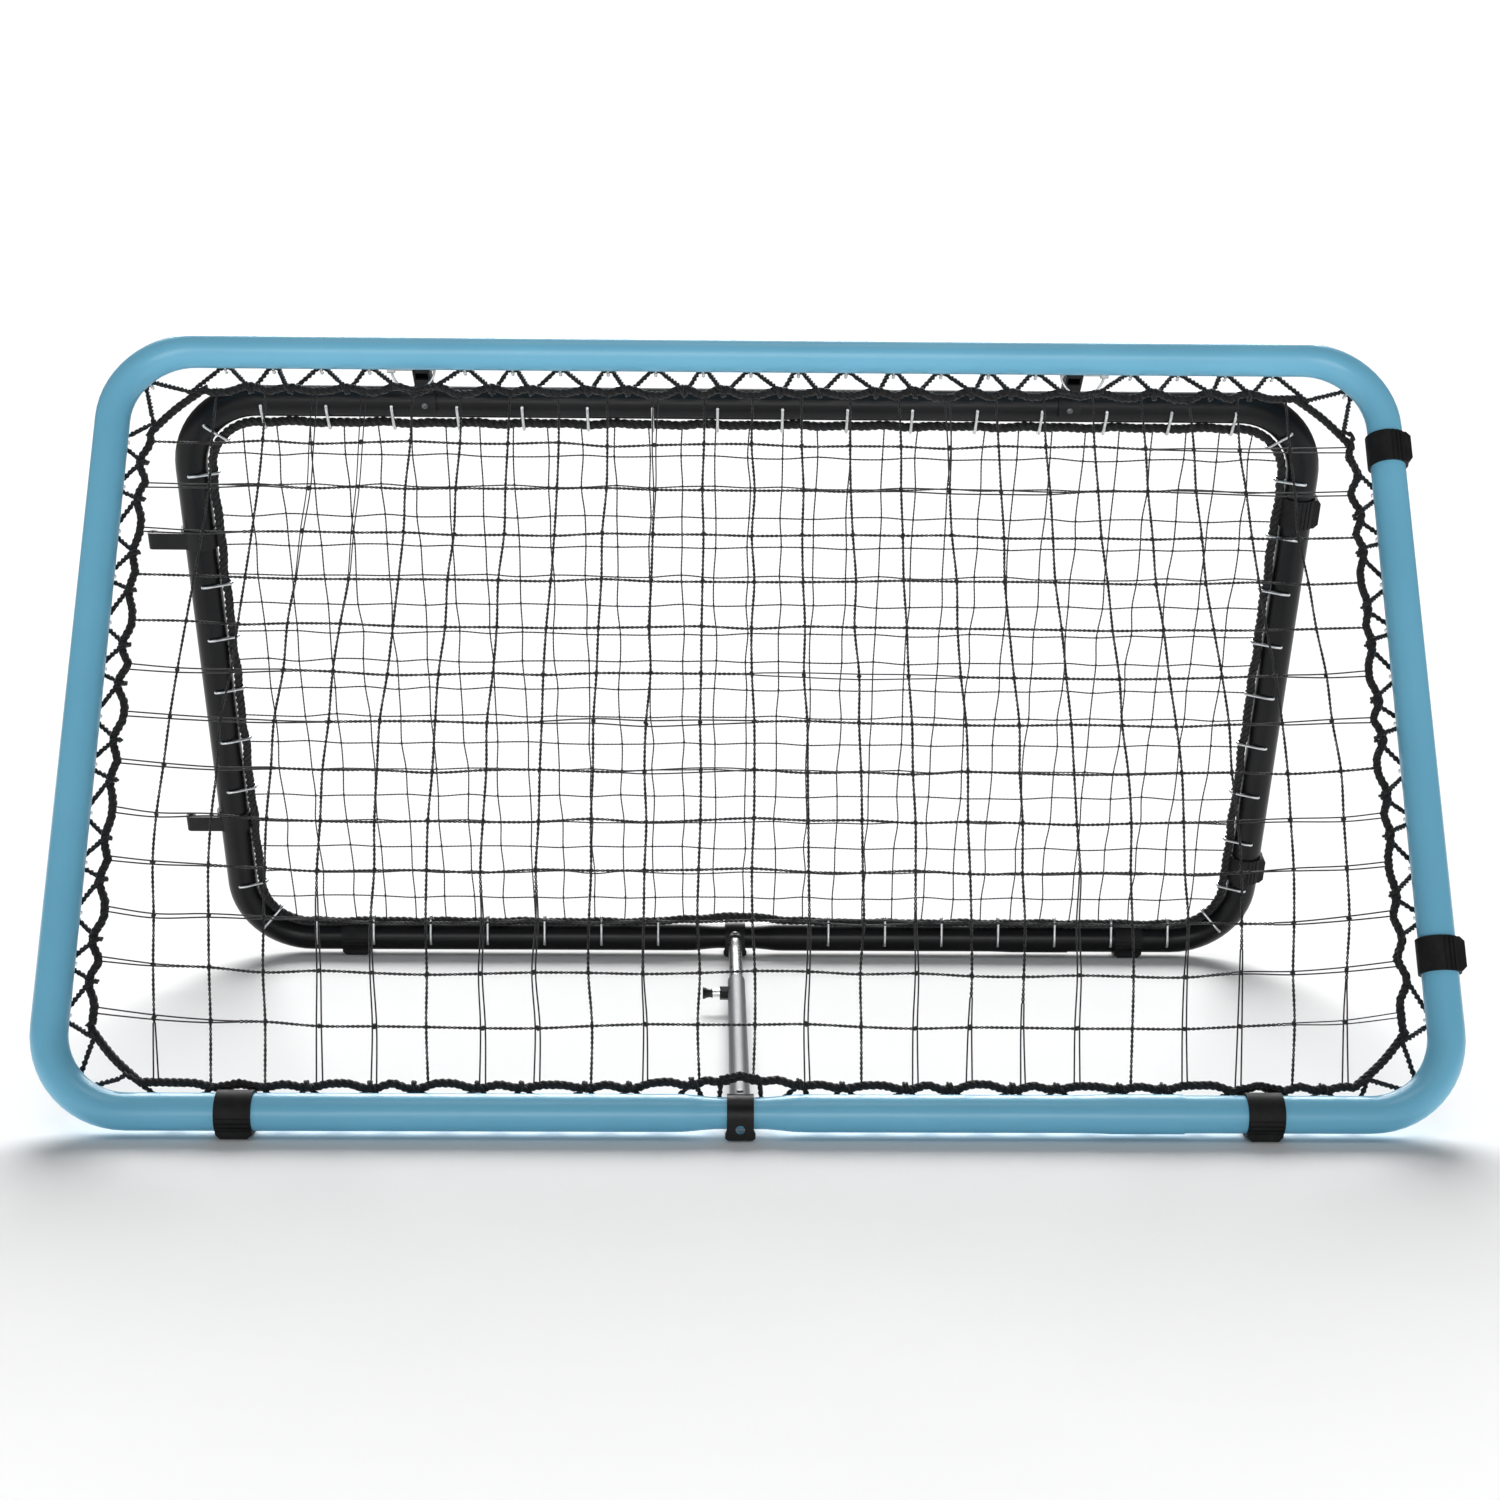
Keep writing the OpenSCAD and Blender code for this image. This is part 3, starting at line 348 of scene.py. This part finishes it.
def rope_track(half_w, low, high, bend, cut):
    """Points round a rounded rectangle: u, v, outward direction, side and place along it."""
    out = []
    straights = (("low", -half_w + bend, half_w - bend, lambda p: (p, low, 0, -1)),
                 ("right", low + bend, high - bend, lambda p: (half_w, p, 1, 0)),
                 ("top", half_w - bend, -half_w + bend, lambda p: (p, high, 0, 1)),
                 ("left", high - bend, low + bend, lambda p: (-half_w, p, -1, 0)))
    corners = ((half_w - bend, low + bend, -90), (half_w - bend, high - bend, 0),
               (bend - half_w, high - bend, 90), (bend - half_w, low + bend, 180))
    for (name, start, end, point_at), (cu, cv, angle) in zip(straights, corners):
        count = max(2, round(abs(end - start) / ROPE_STEP))
        for i in range(count):
            p = start + (end - start) * i / count
            out.append((*point_at(p), name, p))
        turn = max(3, round(bend * math.pi / 2 / ROPE_STEP))
        for i in range(turn):
            a = math.radians(angle + 90 * i / turn)
            chord = math.cos(math.pi / 4) / math.cos(math.radians(90 * i / turn - 45))
            r = bend * (1 + cut * (chord - 1))
            out.append((cu + r * math.cos(a), cv + r * math.sin(a),
                        math.cos(a), math.sin(a), "bend", 0))
    return out


def rope_stops(spots, blocks):
    """Where the lacing meets the rope after each hook: halfway on, or beside what is in the way."""
    stops = []
    for i, v in enumerate(spots):
        if i == len(spots) - 1:
            stops.append([place + k * (half + CORD_ROOM)
                          for place, half in blocks if place > v for k in (-1, 1)])
            continue
        between = [b for b in blocks if v < b[0] < spots[i + 1]]
        if between:
            place, half = between[0]
            stops.append([place - half - CORD_ROOM, place + half + CORD_ROOM])
        else:
            stops.append([(v + spots[i + 1]) / 2 + (STOP_STAGGER if i % 2 == 0 else -STOP_STAGGER)])
    return stops


LACE_STOPS = {"low": rope_stops(front_low, LOW_BLOCKS), "top": rope_stops(front_top, LUGS),
              "left": rope_stops(front_left, ()), "right": rope_stops(front_right, BUMPERS)}
LACE_APEX = {name: [q for stop in stops for q in stop] for name, stops in LACE_STOPS.items()}


def scallop(name, place):
    """How far the front rope is drawn out at a place."""
    if name == "bend":
        return 0.0
    near = min(abs(place - apex) for apex in LACE_APEX[name])
    uneven = 1 + UNEVEN * math.sin(place / UNEVEN_LENGTH + len(name))
    wave = math.cos(2 * math.pi * min(near, SCALLOP_LENGTH / 2) / SCALLOP_LENGTH)
    return SCALLOP_DEPTH[name] * uneven * wave


def over_strut(place, length):
    """How far a bottom rope rides up over the strut."""
    return RISE * math.exp(-((place - STRUT_X) / length) ** 2)


def lift(name, place):
    """The same for the front rope: only its bottom side lifts."""
    return over_strut(place, FRONT_RISE_LENGTH) if name == "low" else 0.0


front_rope_line = []
for u, v, nu, nv, name, place in rope_track(FIELD_HALF, ROPE_LOW, FIELD_HIGH, ROPE_BEND,
                                            FRONT_CORNER_CUT):
    out = scallop(name, place) - lift(name, place)
    front_rope_line.append(on_frame(FRONT, u + nu * out, v + nv * out, FRONT_NET_W))
cords("front_rope", strands(front_rope_line, 3, STRAND_OFF, STRAND_PITCH), STRAND_R, 6, rope,
      "front_frame", ["front_border_rope"])

# Front lacing: one black cord that runs round the whole frame. It lies in the crook of each
# wire hook and takes a turn round the rope before the next: the row of slanted legs.
# At a foot, a lug, a bumper or the strap it runs along the rope instead.

# In a hook: inward from the tube's centre, off its plane, and to each side of the wire.
LACE_IN, LACE_W, LACE_HALF = 6.39, 19.98, 4.0
# Round the rope, and along it past a block: place along the side, inward, and off the rope's
# plane. Past a block the place is a share of the way.
ROPE_TURN = ((-2.2, -2.0, 5.2), (-0.6, 2.8, 1.0), (1.4, 0.6, -4.6), (3.2, -3.0, -4.6))
PAST_BLOCK = ((0, -1.0, -5.4), (0.25, 0.5, -5.6), (0.5, 2.4, -5.6), (0.75, 0.5, -5.6),
              (1, -1.0, -5.4))
# At a bend: the hook's distance from the bend's centre, the degrees to each side of it where
# the lacing meets the rope, and how far inside the rope's middle and off its plane.
BEND_HOOK, BEND_TURN, BEND_INSIDE, BEND_W, DIAGONAL = 63.6, 30, 5, -5.2, 0.7071
# A leg longer than this, in metres, is held straight at two shares of its length.
LEG, LEG_HOLDS = 0.012, (0.2, 0.8)
LACE_STEP = 0.0024
LACE_STRAND_OFF, LACE_STRAND_PITCH, LACE_STRAND_R = 0.0013, 0.010, 0.0014
ROPE_IN = {"low": ROPE_LOW, "top": ROPE_TOP, "left": ROPE_SIDE, "right": ROPE_SIDE}


def lace_point(name, place, inward, w):
    """A point beside one side of the tube, so far inward from its centre."""
    half_w, h = FRONT["w"] / 2, FRONT["h"]
    if name == "low":
        return on_frame(FRONT, place, inward, w)
    if name == "top":
        return on_frame(FRONT, place, h - inward, w)
    if name == "left":
        return on_frame(FRONT, -half_w + inward, place, w)
    return on_frame(FRONT, half_w - inward, place, w)


def straight_to(line, point):
    """Adds a point; a leg of some length is held straight by two more on the way."""
    if line and (point - line[-1]).length > LEG:
        start = line[-1]
        line += [start.lerp(point, hold) for hold in LEG_HOLDS]
    line.append(point)


def bend_hook_point(sx, sz, across, along):
    """A point at the hook in one bend: so far out from the bend's centre, and along the tube."""
    mid_u = sx * (FRONT["w"] / 2 - CORNER_R)
    mid_v = FRONT["h"] / 2 + sz * (FRONT["h"] / 2 - CORNER_R)
    return on_frame(FRONT, mid_u + (across * sx - along * sz) * DIAGONAL,
                    mid_v + (across * sz + along * sx) * DIAGONAL, LACE_W)


def bend_rope_point(sx, sz, degrees):
    """A point on the rope in one bend, so many degrees round from the frame's side."""
    base = FIELD_HIGH - ROPE_BEND if sz > 0 else ROPE_LOW + ROPE_BEND
    a, radius = math.radians(degrees), ROPE_BEND - BEND_INSIDE
    return on_frame(FRONT, sx * (FIELD_HALF - ROPE_BEND + radius * math.cos(a)),
                    base + sz * radius * math.sin(a), FRONT_NET_W + BEND_W)


def smooth_line(points, closed, step):
    """A smooth line through the points (Catmull-Rom), with a point about every step."""
    n = len(points)
    out = []
    for i in range(n if closed else n - 1):
        if closed:
            a, b, c, d = (points[(i + k - 1) % n] for k in range(4))
        else:
            b, c = points[i], points[i + 1]
            a = points[i - 1] if i else b * 2 - c
            d = points[i + 2] if i + 2 < n else c * 2 - b
        count = max(1, round((c - b).length / step))
        for k in range(count):
            t = k / count
            out.append(0.5 * (2 * b + (c - a) * t + (2 * a - 5 * b + 4 * c - d) * t * t
                              + (3 * b - a - 3 * c + d) * t ** 3))
    if not closed:
        out.append(points[-1])
    return out


def side_route(name, spots, back):
    """The lacing's places along one side: place, inward and depth."""
    way = -1 if back else 1
    steps = []
    for v, stop in zip(spots, LACE_STOPS[name]):
        steps += [([v], True), (stop, False)]
    route = []
    for stop, at_hook in (reversed(steps) if back else steps):
        rope_in = ROPE_IN[name] + lift(name, sum(stop) / len(stop)) if stop else 0.0
        if at_hook:
            route += [(stop[0] + way * k * LACE_HALF, LACE_IN, LACE_W) for k in (-1, 1)]
        elif len(stop) == 1:
            route += [(stop[0] + way * along, rope_in + inward, FRONT_NET_W + off)
                      for along, inward, off in ROPE_TURN]
        elif stop:
            first, last = (stop[1], stop[0]) if back else stop
            route += [(first + (last - first) * k, rope_in + inward, FRONT_NET_W + off)
                      for k, inward, off in PAST_BLOCK]
    return route


lace_line = []
for name, spots, back, sx, sz in (("low", front_low, False, 1, -1),
                                  ("right", front_right, False, 1, 1),
                                  ("top", front_top, True, -1, 1),
                                  ("left", front_left, True, -1, -1)):
    for place, inward, w in side_route(name, spots, back):
        straight_to(lace_line, lace_point(name, place, inward, w))
    round_bend = BEND_TURN if sx * sz > 0 else -BEND_TURN
    straight_to(lace_line, bend_rope_point(sx, sz, 45 - round_bend))
    straight_to(lace_line, bend_hook_point(sx, sz, BEND_HOOK, -LACE_HALF))
    straight_to(lace_line, bend_hook_point(sx, sz, BEND_HOOK, LACE_HALF))
    straight_to(lace_line, bend_rope_point(sx, sz, 45 + round_bend))
lace_curve = smooth_line(lace_line, True, LACE_STEP)
cords("lacing", strands(lace_curve, 2, LACE_STRAND_OFF, LACE_STRAND_PITCH), LACE_STRAND_R, 5,
      rope, "front_frame", ["front_lacing"])

# Front net: a wide square mesh of black cord in two twisted strands, tight together in some
# cells and open in others, and tied to the rope at their ends. It bows outwards low down,
# and its rows lift towards the sides.

# The flat sheet's columns and rows, then its bow and lift, in millimetres in the front plane.
FRONT_COLS = [-492 + 44.9 * i for i in range(23)]
FRONT_ROWS = [75.9 + 44.7 * j for j in range(13)]
NET_HALF, NET_TOP = 552, 600
BOW, BOW_START, BOW_MIDDLE = 0.04, 28, 270
ROW_LIFT, ROW_DIP = 12, 4
# A crossing's wander, the room between the last one and the rope, and half the step from the
# uprights to the rows, which cross on the other side.
NET_WANDER, END_ROOM, LAYER = 1.6, 6, 0.9
FRONT_BULGE, FRONT_STEP = 0.8, 0.0015
# The two strands in metres: their thickness, how far off the cord's middle, and their twist.
CORD_R, CORD_TIGHT, CORD_PITCH = 0.0007, 0.00072, 0.0085
CORD_OUTWARD = Vector((0, 0.89, -0.45))
# Where they run apart: how long, how wide, where along the cord, and how often.
OPEN_LENGTH, OPEN_WIDTH, OPEN_MIDDLE = (0.06, 0.22), (0.0024, 0.004), (0.3, 0.6)
OPEN_OFTEN, OPEN_SELDOM = 0.7, 0.1
APART, APART_BLEND = 0.0004, 0.0012
net_cord = surface("net_cord", (0.006, 0.006, 0.0065), (0.03, 0.03, 0.032), (0.5, 0.8),
                   scale=420.0, grain=(1400.0, 0.5, 0.0004), sheen=0.15, specular=0.35)


def drape(x, s):
    """The front net's own shape, from a place on the flat sheet."""
    if s < BOW_MIDDLE:
        bow = math.sin(math.pi / 2 * max(0.0, s - BOW_START) / (BOW_MIDDLE - BOW_START))
    else:
        bow = math.cos(math.pi / 2 * min(1.0, (s - BOW_MIDDLE) / (NET_TOP - BOW_MIDDLE))) ** 2
    side = min(1.0, abs(x) / NET_HALF)
    low = max(0.0, 1 - s / NET_TOP)
    return x * (1 + BOW * bow), s + low * (ROW_LIFT * side ** 6 - ROW_DIP * math.sin(math.pi * side))


def lattice(cols, rows, shape):
    """Crossing places with a small wander."""
    grid = {}
    for i, x in enumerate(cols):
        for j, s in enumerate(rows):
            u, v = shape(x, s)
            grid[(i, j)] = (u + random.uniform(-NET_WANDER, NET_WANDER),
                            v + random.uniform(-NET_WANDER, NET_WANDER))
    return grid


def net_end(place, half, bend, low, high):
    """Where a cord meets the rope at each end, beside a rounded corner too."""
    over = max(0.0, abs(place) - (half - bend))
    inset = bend - math.sqrt(max(0.0, bend * bend - over * over))
    return low + inset, high - inset


def net_runs(side, w, cols, rows, grid, half, low, high, bend, shape, make):
    """Runs of the cords up and across a net, from rope to rope."""
    ups, acrosses = [], []
    for i, x in enumerate(cols):
        foot, head = net_end(x, half, bend, low, high)
        inner = [grid[(i, j)] for j in range(len(rows))
                 if foot + END_ROOM < grid[(i, j)][1] < head - END_ROOM]
        ups += make([(x, foot)] + inner + [(x, head)], w - LAYER)
    middle = (low + high) / 2
    for j, s in enumerate(rows):
        start, end = net_end(s - middle, (high - low) / 2, bend, -half, half)
        inner = [grid[(i, j)] for i in range(len(cols))
                 if start + END_ROOM < grid[(i, j)][0] < end - END_ROOM]
        acrosses += make([(start, shape(start, s)[1])] + inner + [(end, shape(end, s)[1])],
                         w + LAYER)
    return ups, acrosses


def cord_path(side, w, points, bulge, step):
    """A smooth cord path through lattice places; bulge is the wander out of the plane."""
    line = [on_frame(side, u, v, w + random.uniform(-bulge, bulge)) for u, v in points]
    return smooth_line(line, False, step)


def double_cord(line, stretches):
    """Two strands twisted along a line, save in the stretches where they run apart."""
    out = ([], [])
    angle, run = random.uniform(0, math.pi), 0.0
    for i, p in enumerate(line):
        step = (line[i] - line[i - 1]).length if i else 0.0
        run += step
        apart = 0.0
        for at, size, wide, form in stretches:
            t = (run - at) / size
            if 0 <= t <= 1:
                apart += wide * {"start": 1 - t, "end": t, "mid": math.sin(math.pi * t)}[form]
        if apart < APART:
            angle += step / CORD_PITCH * 2 * math.pi
        before, after = line[max(0, i - 1)], line[min(len(line) - 1, i + 1)]
        along = (after - before).normalized()
        across = along.cross(CORD_OUTWARD).normalized()
        normal = across.cross(along)
        twist = math.cos(angle) * across + math.sin(angle) * normal
        if apart:
            flat = math.copysign(1.0, math.cos(angle)) * across
            twist = twist.lerp(flat, min(1.0, apart / APART_BLEND))
        out[0].append(p + (CORD_TIGHT + apart / 2) * twist)
        out[1].append(p - (CORD_TIGHT + apart / 2) * twist)
    return [(out[0], False), (out[1], False)]


def front_cord(points, w, first, last):
    """One cord of the front net; first and last are the odds that it runs apart at each end."""
    line = cord_path(FRONT, w, points, FRONT_BULGE, FRONT_STEP)
    total = sum((b - a).length for a, b in zip(line, line[1:]))
    stretches = []
    for form, odds in (("start", first), ("end", last), ("mid", last / 2)):
        if random.random() < odds:
            size = random.uniform(*OPEN_LENGTH)
            at = {"start": 0.0, "end": total - size,
                  "mid": random.uniform(*OPEN_MIDDLE) * total}[form]
            stretches.append((at, size, random.uniform(*OPEN_WIDTH), form))
    return double_cord(line, stretches)


def front_upright(points, w):
    """A cord up the net: its foot follows the rope over the strut and often runs apart."""
    u, foot = points[0]
    return front_cord([(u, foot + lift("low", u))] + points[1:], w, OPEN_OFTEN,
                      OPEN_SELDOM)


def front_row(points, w):
    """A cord across the net: it often runs apart at both ends."""
    return front_cord(points, w, OPEN_OFTEN, OPEN_OFTEN)


# Each way across the net is made with its own seed, and only that way is kept of it.
random.seed(3)
front_grid = lattice(FRONT_COLS, FRONT_ROWS, drape)
front_field = (FRONT, FRONT_NET_W, FRONT_COLS, FRONT_ROWS, front_grid, FIELD_HALF, ROPE_LOW,
               FIELD_HIGH, ROPE_BEND, drape)
random.seed(5)
front_ups = net_runs(*front_field, front_upright)[0]
random.seed(6)
front_acrosses = net_runs(*front_field, front_row)[1]
cords("front_net_uprights", front_ups, CORD_R, 4, net_cord, "front_frame",
      ["front_net"])
cords("front_net_rows", front_acrosses, CORD_R, 4, net_cord, "front_frame",
      ["front_net"])

# Front net's knots: a small rounded knot of the same cord at every crossing, where the two
# cords are tied together.
KNOT_SHAPE, KNOT_SEED = (1.25, 0.85, 1.0), 4
FRONT_KNOT = 0.0024


def knot_tree():
    """A small flattened ball on every point, each turned its own way."""
    group, keys = new_tree("knots_on_points", (("Size", "NodeSocketFloat"),))
    make, link = group.nodes.new, group.links.new
    given = make("NodeGroupInput")
    points = make("GeometryNodeMeshToPoints")
    ball = make("GeometryNodeMeshIcoSphere")
    smooth = make("GeometryNodeSetShadeSmooth")
    turn = make("FunctionNodeRandomValue")
    place = make("GeometryNodeInstanceOnPoints")
    ball.inputs["Subdivisions"].default_value = 1
    turn.data_type = "FLOAT_VECTOR"
    turn.inputs["Max"].default_value = (6.28, 6.28, 6.28)
    turn.inputs["Seed"].default_value = KNOT_SEED
    place.inputs["Scale"].default_value = KNOT_SHAPE
    link(given.outputs["Geometry"], points.inputs["Mesh"])
    link(points.outputs["Points"], place.inputs["Points"])
    link(given.outputs["Size"], ball.inputs["Radius"])
    link(ball.outputs["Mesh"], smooth.inputs["Geometry"])
    link(smooth.outputs["Geometry"], place.inputs["Instance"])
    link(turn.outputs["Value"], place.inputs["Rotation"])
    end_tree(group, given, place.outputs["Instances"])
    return group, keys


KNOT_TREE = knot_tree()


def knots(name, side, w, grid, half, low, high, bend, size, body):
    """A knot at each crossing that lies inside the rope."""
    places = []
    for (i, j), (u, v) in sorted(grid.items()):
        foot, head = net_end(u, half, bend, low, high)
        if foot + END_ROOM < v < head - END_ROOM:
            places.append(tuple(on_frame(side, u, v, w)))
    guide = bpy.data.meshes.new(name + "_places")
    guide.from_pydata(places, [], [])
    grow(name, guide, KNOT_TREE, {"Size": size, "Finish": net_cord}, body)


knots("front_net_knots", FRONT, FRONT_NET_W, front_grid, FIELD_HALF, ROPE_LOW, FIELD_HIGH,
      ROPE_BEND, FRONT_KNOT, "front_frame")

# Rear tube: the same kind of loop, 82 mm smaller each way so that it nests in the front one,
# and powder coated in satin black. It leans the other way and stands behind.
REAR = {"w": 1083.0, "h": 618.0, "lean": math.radians(20.5), "y": 602.0, "way": -1}
black_paint = surface("black_paint", (0.005, 0.005, 0.0055), (0.009, 0.009, 0.010), (0.26, 0.36),
                      specular=0.22, scale=14.0, grain=(70.0, 0.05, 0.001))
dress(black_paint, "rear_tube")

# Rear feet, bumpers and hooks: the same rubber bands and zinc-plated wire as in front. The
# hooks hold the rope straight to the tube, with no lacing.
dress(foot_rubber, "rear_foot_left", "rear_foot_right", "rear_bumper_lower",
      "rear_bumper_upper")
dress(zinc_wire, "rear_hooks")

# Link eyes: two on the left side tube, each a band, a plate and a rolled eye in one steel
# pressing. They have the brackets' black coat.
dress(bracket_paint, "link_eye_upper", "link_eye_lower")

# Rear border rope: the same rope with fuller strands, held close to the black tube by the
# wire hooks, so it waves only a little. Its bottom side rides up over the strut too.
REAR_ROPE_IN, REAR_BEND, REAR_NET_W = 21.84, 48.16, 3.06
REAR_HALF, REAR_HIGH = REAR["w"] / 2 - REAR_ROPE_IN, REAR["h"] - REAR_ROPE_IN
REAR_OUT, REAR_WAVE, REAR_RISE_LENGTH = 0.9, 1.1, 62
SHORT_WAVE, LONG_WAVE = 9.0, 31.0
REAR_STRAND_OFF, REAR_STRAND_PITCH, REAR_STRAND_R = 0.0023, 0.021, 0.0025
rear_rope_line = []
for u, v, nu, nv, name, place in rope_track(REAR_HALF, REAR_ROPE_IN, REAR_HIGH, REAR_BEND, 0.0):
    out = REAR_OUT
    if name != "bend":
        out -= REAR_WAVE * math.sin(place / SHORT_WAVE) * math.sin(place / LONG_WAVE)
    if name == "low":
        out -= over_strut(place, REAR_RISE_LENGTH)
    rear_rope_line.append(on_frame(REAR, u + nu * out, v + nv * out, REAR_NET_W))
rear_strands = strands(rear_rope_line, 3, REAR_STRAND_OFF, REAR_STRAND_PITCH)
cords("rear_rope", rear_strands, REAR_STRAND_R, 6, rope,
      "rear_frame", ["rear_border_rope"])

# Rear net: a finer mesh of single twisted cord, flat and taut, knotted where it crosses. A
# four-sided section that turns from point to point gives the cord its twist.
REAR_COUNT, REAR_BULGE, REAR_STEP = (32, 18), 0.5, 0.0026
REAR_CORD_R, REAR_TWIST, REAR_KNOT = 0.00085, 1.0, 0.0014
# Columns and rows, evenly inside the rope, in millimetres.
REAR_COLS = [-REAR_HALF + 2 * REAR_HALF * i / REAR_COUNT[0] for i in range(1, REAR_COUNT[0])]
REAR_ROWS = [REAR_ROPE_IN + (REAR_HIGH - REAR_ROPE_IN) * j / REAR_COUNT[1]
             for j in range(1, REAR_COUNT[1])]


def rear_cord(points, w):
    """One cord of the rear net."""
    return [(cord_path(REAR, w, points, REAR_BULGE, REAR_STEP), False)]


def taut(x, s):
    """The rear net's own shape: each place stays where it is on the flat sheet."""
    return x, s


random.seed(9)
rear_grid = lattice(REAR_COLS, REAR_ROWS, taut)
rear_ups, rear_acrosses = net_runs(REAR, REAR_NET_W, REAR_COLS, REAR_ROWS, rear_grid, REAR_HALF,
                                   REAR_ROPE_IN, REAR_HIGH, REAR_BEND, taut, rear_cord)
cords("rear_net_uprights", rear_ups, REAR_CORD_R, 4, net_cord, "rear_frame",
      ["rear_net"], turn=REAR_TWIST)
cords("rear_net_rows", rear_acrosses, REAR_CORD_R, 4, net_cord, "rear_frame",
      ["rear_net"], turn=REAR_TWIST)
knots("rear_net_knots", REAR, REAR_NET_W, rear_grid, REAR_HALF, REAR_ROPE_IN, REAR_HIGH,
      REAR_BEND, REAR_KNOT, "rear_frame")

# Hinge arms, pins and rings: each arm is a steel box section, slotted at the pin, with a
# saddle welded on and riveted to the black top tube. It hangs on a headed, zinc-plated pin
# through its lug, and a wire snap ring through the pin's head keeps it in.
dress(bracket_paint, "hinge_arm_left", "hinge_arm_right")
dress(rivet_steel, "arm_rivets")
dress(zinc_wire, "hinge_pin_left", "hinge_pin_right", "snap_ring_left", "snap_ring_right")

# Strut's outer tube: a grey painted tube with a black steel strap riveted to its front end,
# which hooks over the front tube's neck. A plastic bush in its mouth guides the inner tube.
grey_paint = surface("grey_paint", (0.095, 0.1, 0.105), (0.125, 0.13, 0.135), (0.38, 0.5),
                     specular=0.3, scale=30.0, stretch=(1, 0.15, 1))
black_plastic = surface("black_plastic", (0.008, 0.008, 0.0085), (0.014, 0.014, 0.015),
                        (0.3, 0.45), scale=80.0, grain=(500.0, 0.1, 0.0003))
dress(grey_paint, "strut_outer_tube")
dress(bracket_paint, "front_strap")
dress(rivet_steel, "front_strap_rivet")
dress(black_plastic, "guide_bush")

# Pull pin: a bright turned plunger in a black nut on the outer tube, with a plastic knob to
# draw it by and a zinc-plated spring that drops it into the inner tube's holes.
bright_pin = surface("bright_pin", (0.75, 0.75, 0.76), (0.85, 0.85, 0.86), (0.08, 0.16),
                     metallic=1.0, scale=120.0)
dress(bright_pin, "pin_plunger")
dress(bracket_paint, "pin_nut")
dress(black_plastic, "pin_knob")
dress(zinc_wire, "pin_spring")

# Strut's inner tube: a bare zinc-plated tube that slides in the outer one, streaked along its
# length. The second black strap is riveted to its rear end and hooks over the rear neck.
zinc_tube = surface("zinc_tube", (0.3, 0.305, 0.315), (0.46, 0.465, 0.475), (0.22, 0.36),
                    metallic=1.0, scale=40.0, stretch=(1, 0.1, 1))
dress(zinc_tube, "strut_inner_tube")
dress(bracket_paint, "rear_strap")
dress(rivet_steel, "rear_strap_rivet")

# Floor: a matt white sheet for the frames to stand on, wide enough to fill the view up to the
# horizon, where it meets the white backdrop. Sizes are in metres.
FLOOR_HALF, FLOOR_NEAR, FLOOR_FAR = 40, -5, 90
floor_mesh = bpy.data.meshes.new("floor")
floor_mesh.from_pydata([(-FLOOR_HALF, FLOOR_NEAR, 0), (FLOOR_HALF, FLOOR_NEAR, 0),
                        (FLOOR_HALF, FLOOR_FAR, 0), (-FLOOR_HALF, FLOOR_FAR, 0)],
                       [], [(0, 1, 2, 3)])
floor = bpy.data.objects.new("floor", floor_mesh)
bpy.context.scene.collection.objects.link(floor)
floor_white = surface("floor_white", (0.93, 0.93, 0.93), (0.95, 0.95, 0.95), (0.8, 0.9),
                      scale=3.0, specular=0.0)
floor_mesh.materials.append(floor_white)

# Backdrop: a plain white studio. A dim white sky lights the object evenly, and the camera
# sees a full white one.
SKY_LIGHT, SKY_SEEN = 0.14, 1.05
world = bpy.data.worlds.new("studio")
bpy.context.scene.world = world
world.use_nodes = True
tree = world.node_tree
sky = tree.nodes["Background"]
sky.inputs["Color"].default_value = (1, 1, 1, 1)
sky.inputs["Strength"].default_value = SKY_LIGHT
seen = tree.nodes.new("ShaderNodeBackground")
seen.inputs["Color"].default_value = (1, 1, 1, 1)
seen.inputs["Strength"].default_value = SKY_SEEN
path = tree.nodes.new("ShaderNodeLightPath")
mix = tree.nodes.new("ShaderNodeMixShader")
tree.links.new(path.outputs["Is Camera Ray"], mix.inputs["Fac"])
tree.links.new(sky.outputs["Background"], mix.inputs[1])
tree.links.new(seen.outputs["Background"], mix.inputs[2])
tree.links.new(mix.outputs["Shader"], tree.nodes["World Output"].inputs["Surface"])


# Lights: three broad suns. One shines from behind, down along the front frame, so that its
# shadow gathers at its foot; a weak one stands overhead and another low in front.
def sun(name, degrees, way, softness, power):
    """A sun so many degrees from straight up, towards the front (1) or the back (-1)."""
    data = bpy.data.lights.new(name, "SUN")
    data.angle = math.radians(softness)
    data.energy = power
    light = bpy.data.objects.new(name, data)
    a = math.radians(degrees)
    aim = Vector((0.0, -way * math.sin(a), math.cos(a)))
    light.rotation_euler = aim.to_track_quat("Z", "Y").to_euler()
    bpy.context.scene.collection.objects.link(light)


sun("behind", 52, -1, 40, 4.6)
sun("overhead", 10, 1, 22, 0.3)
sun("front_fill", 84, 1, 30, 1.0)
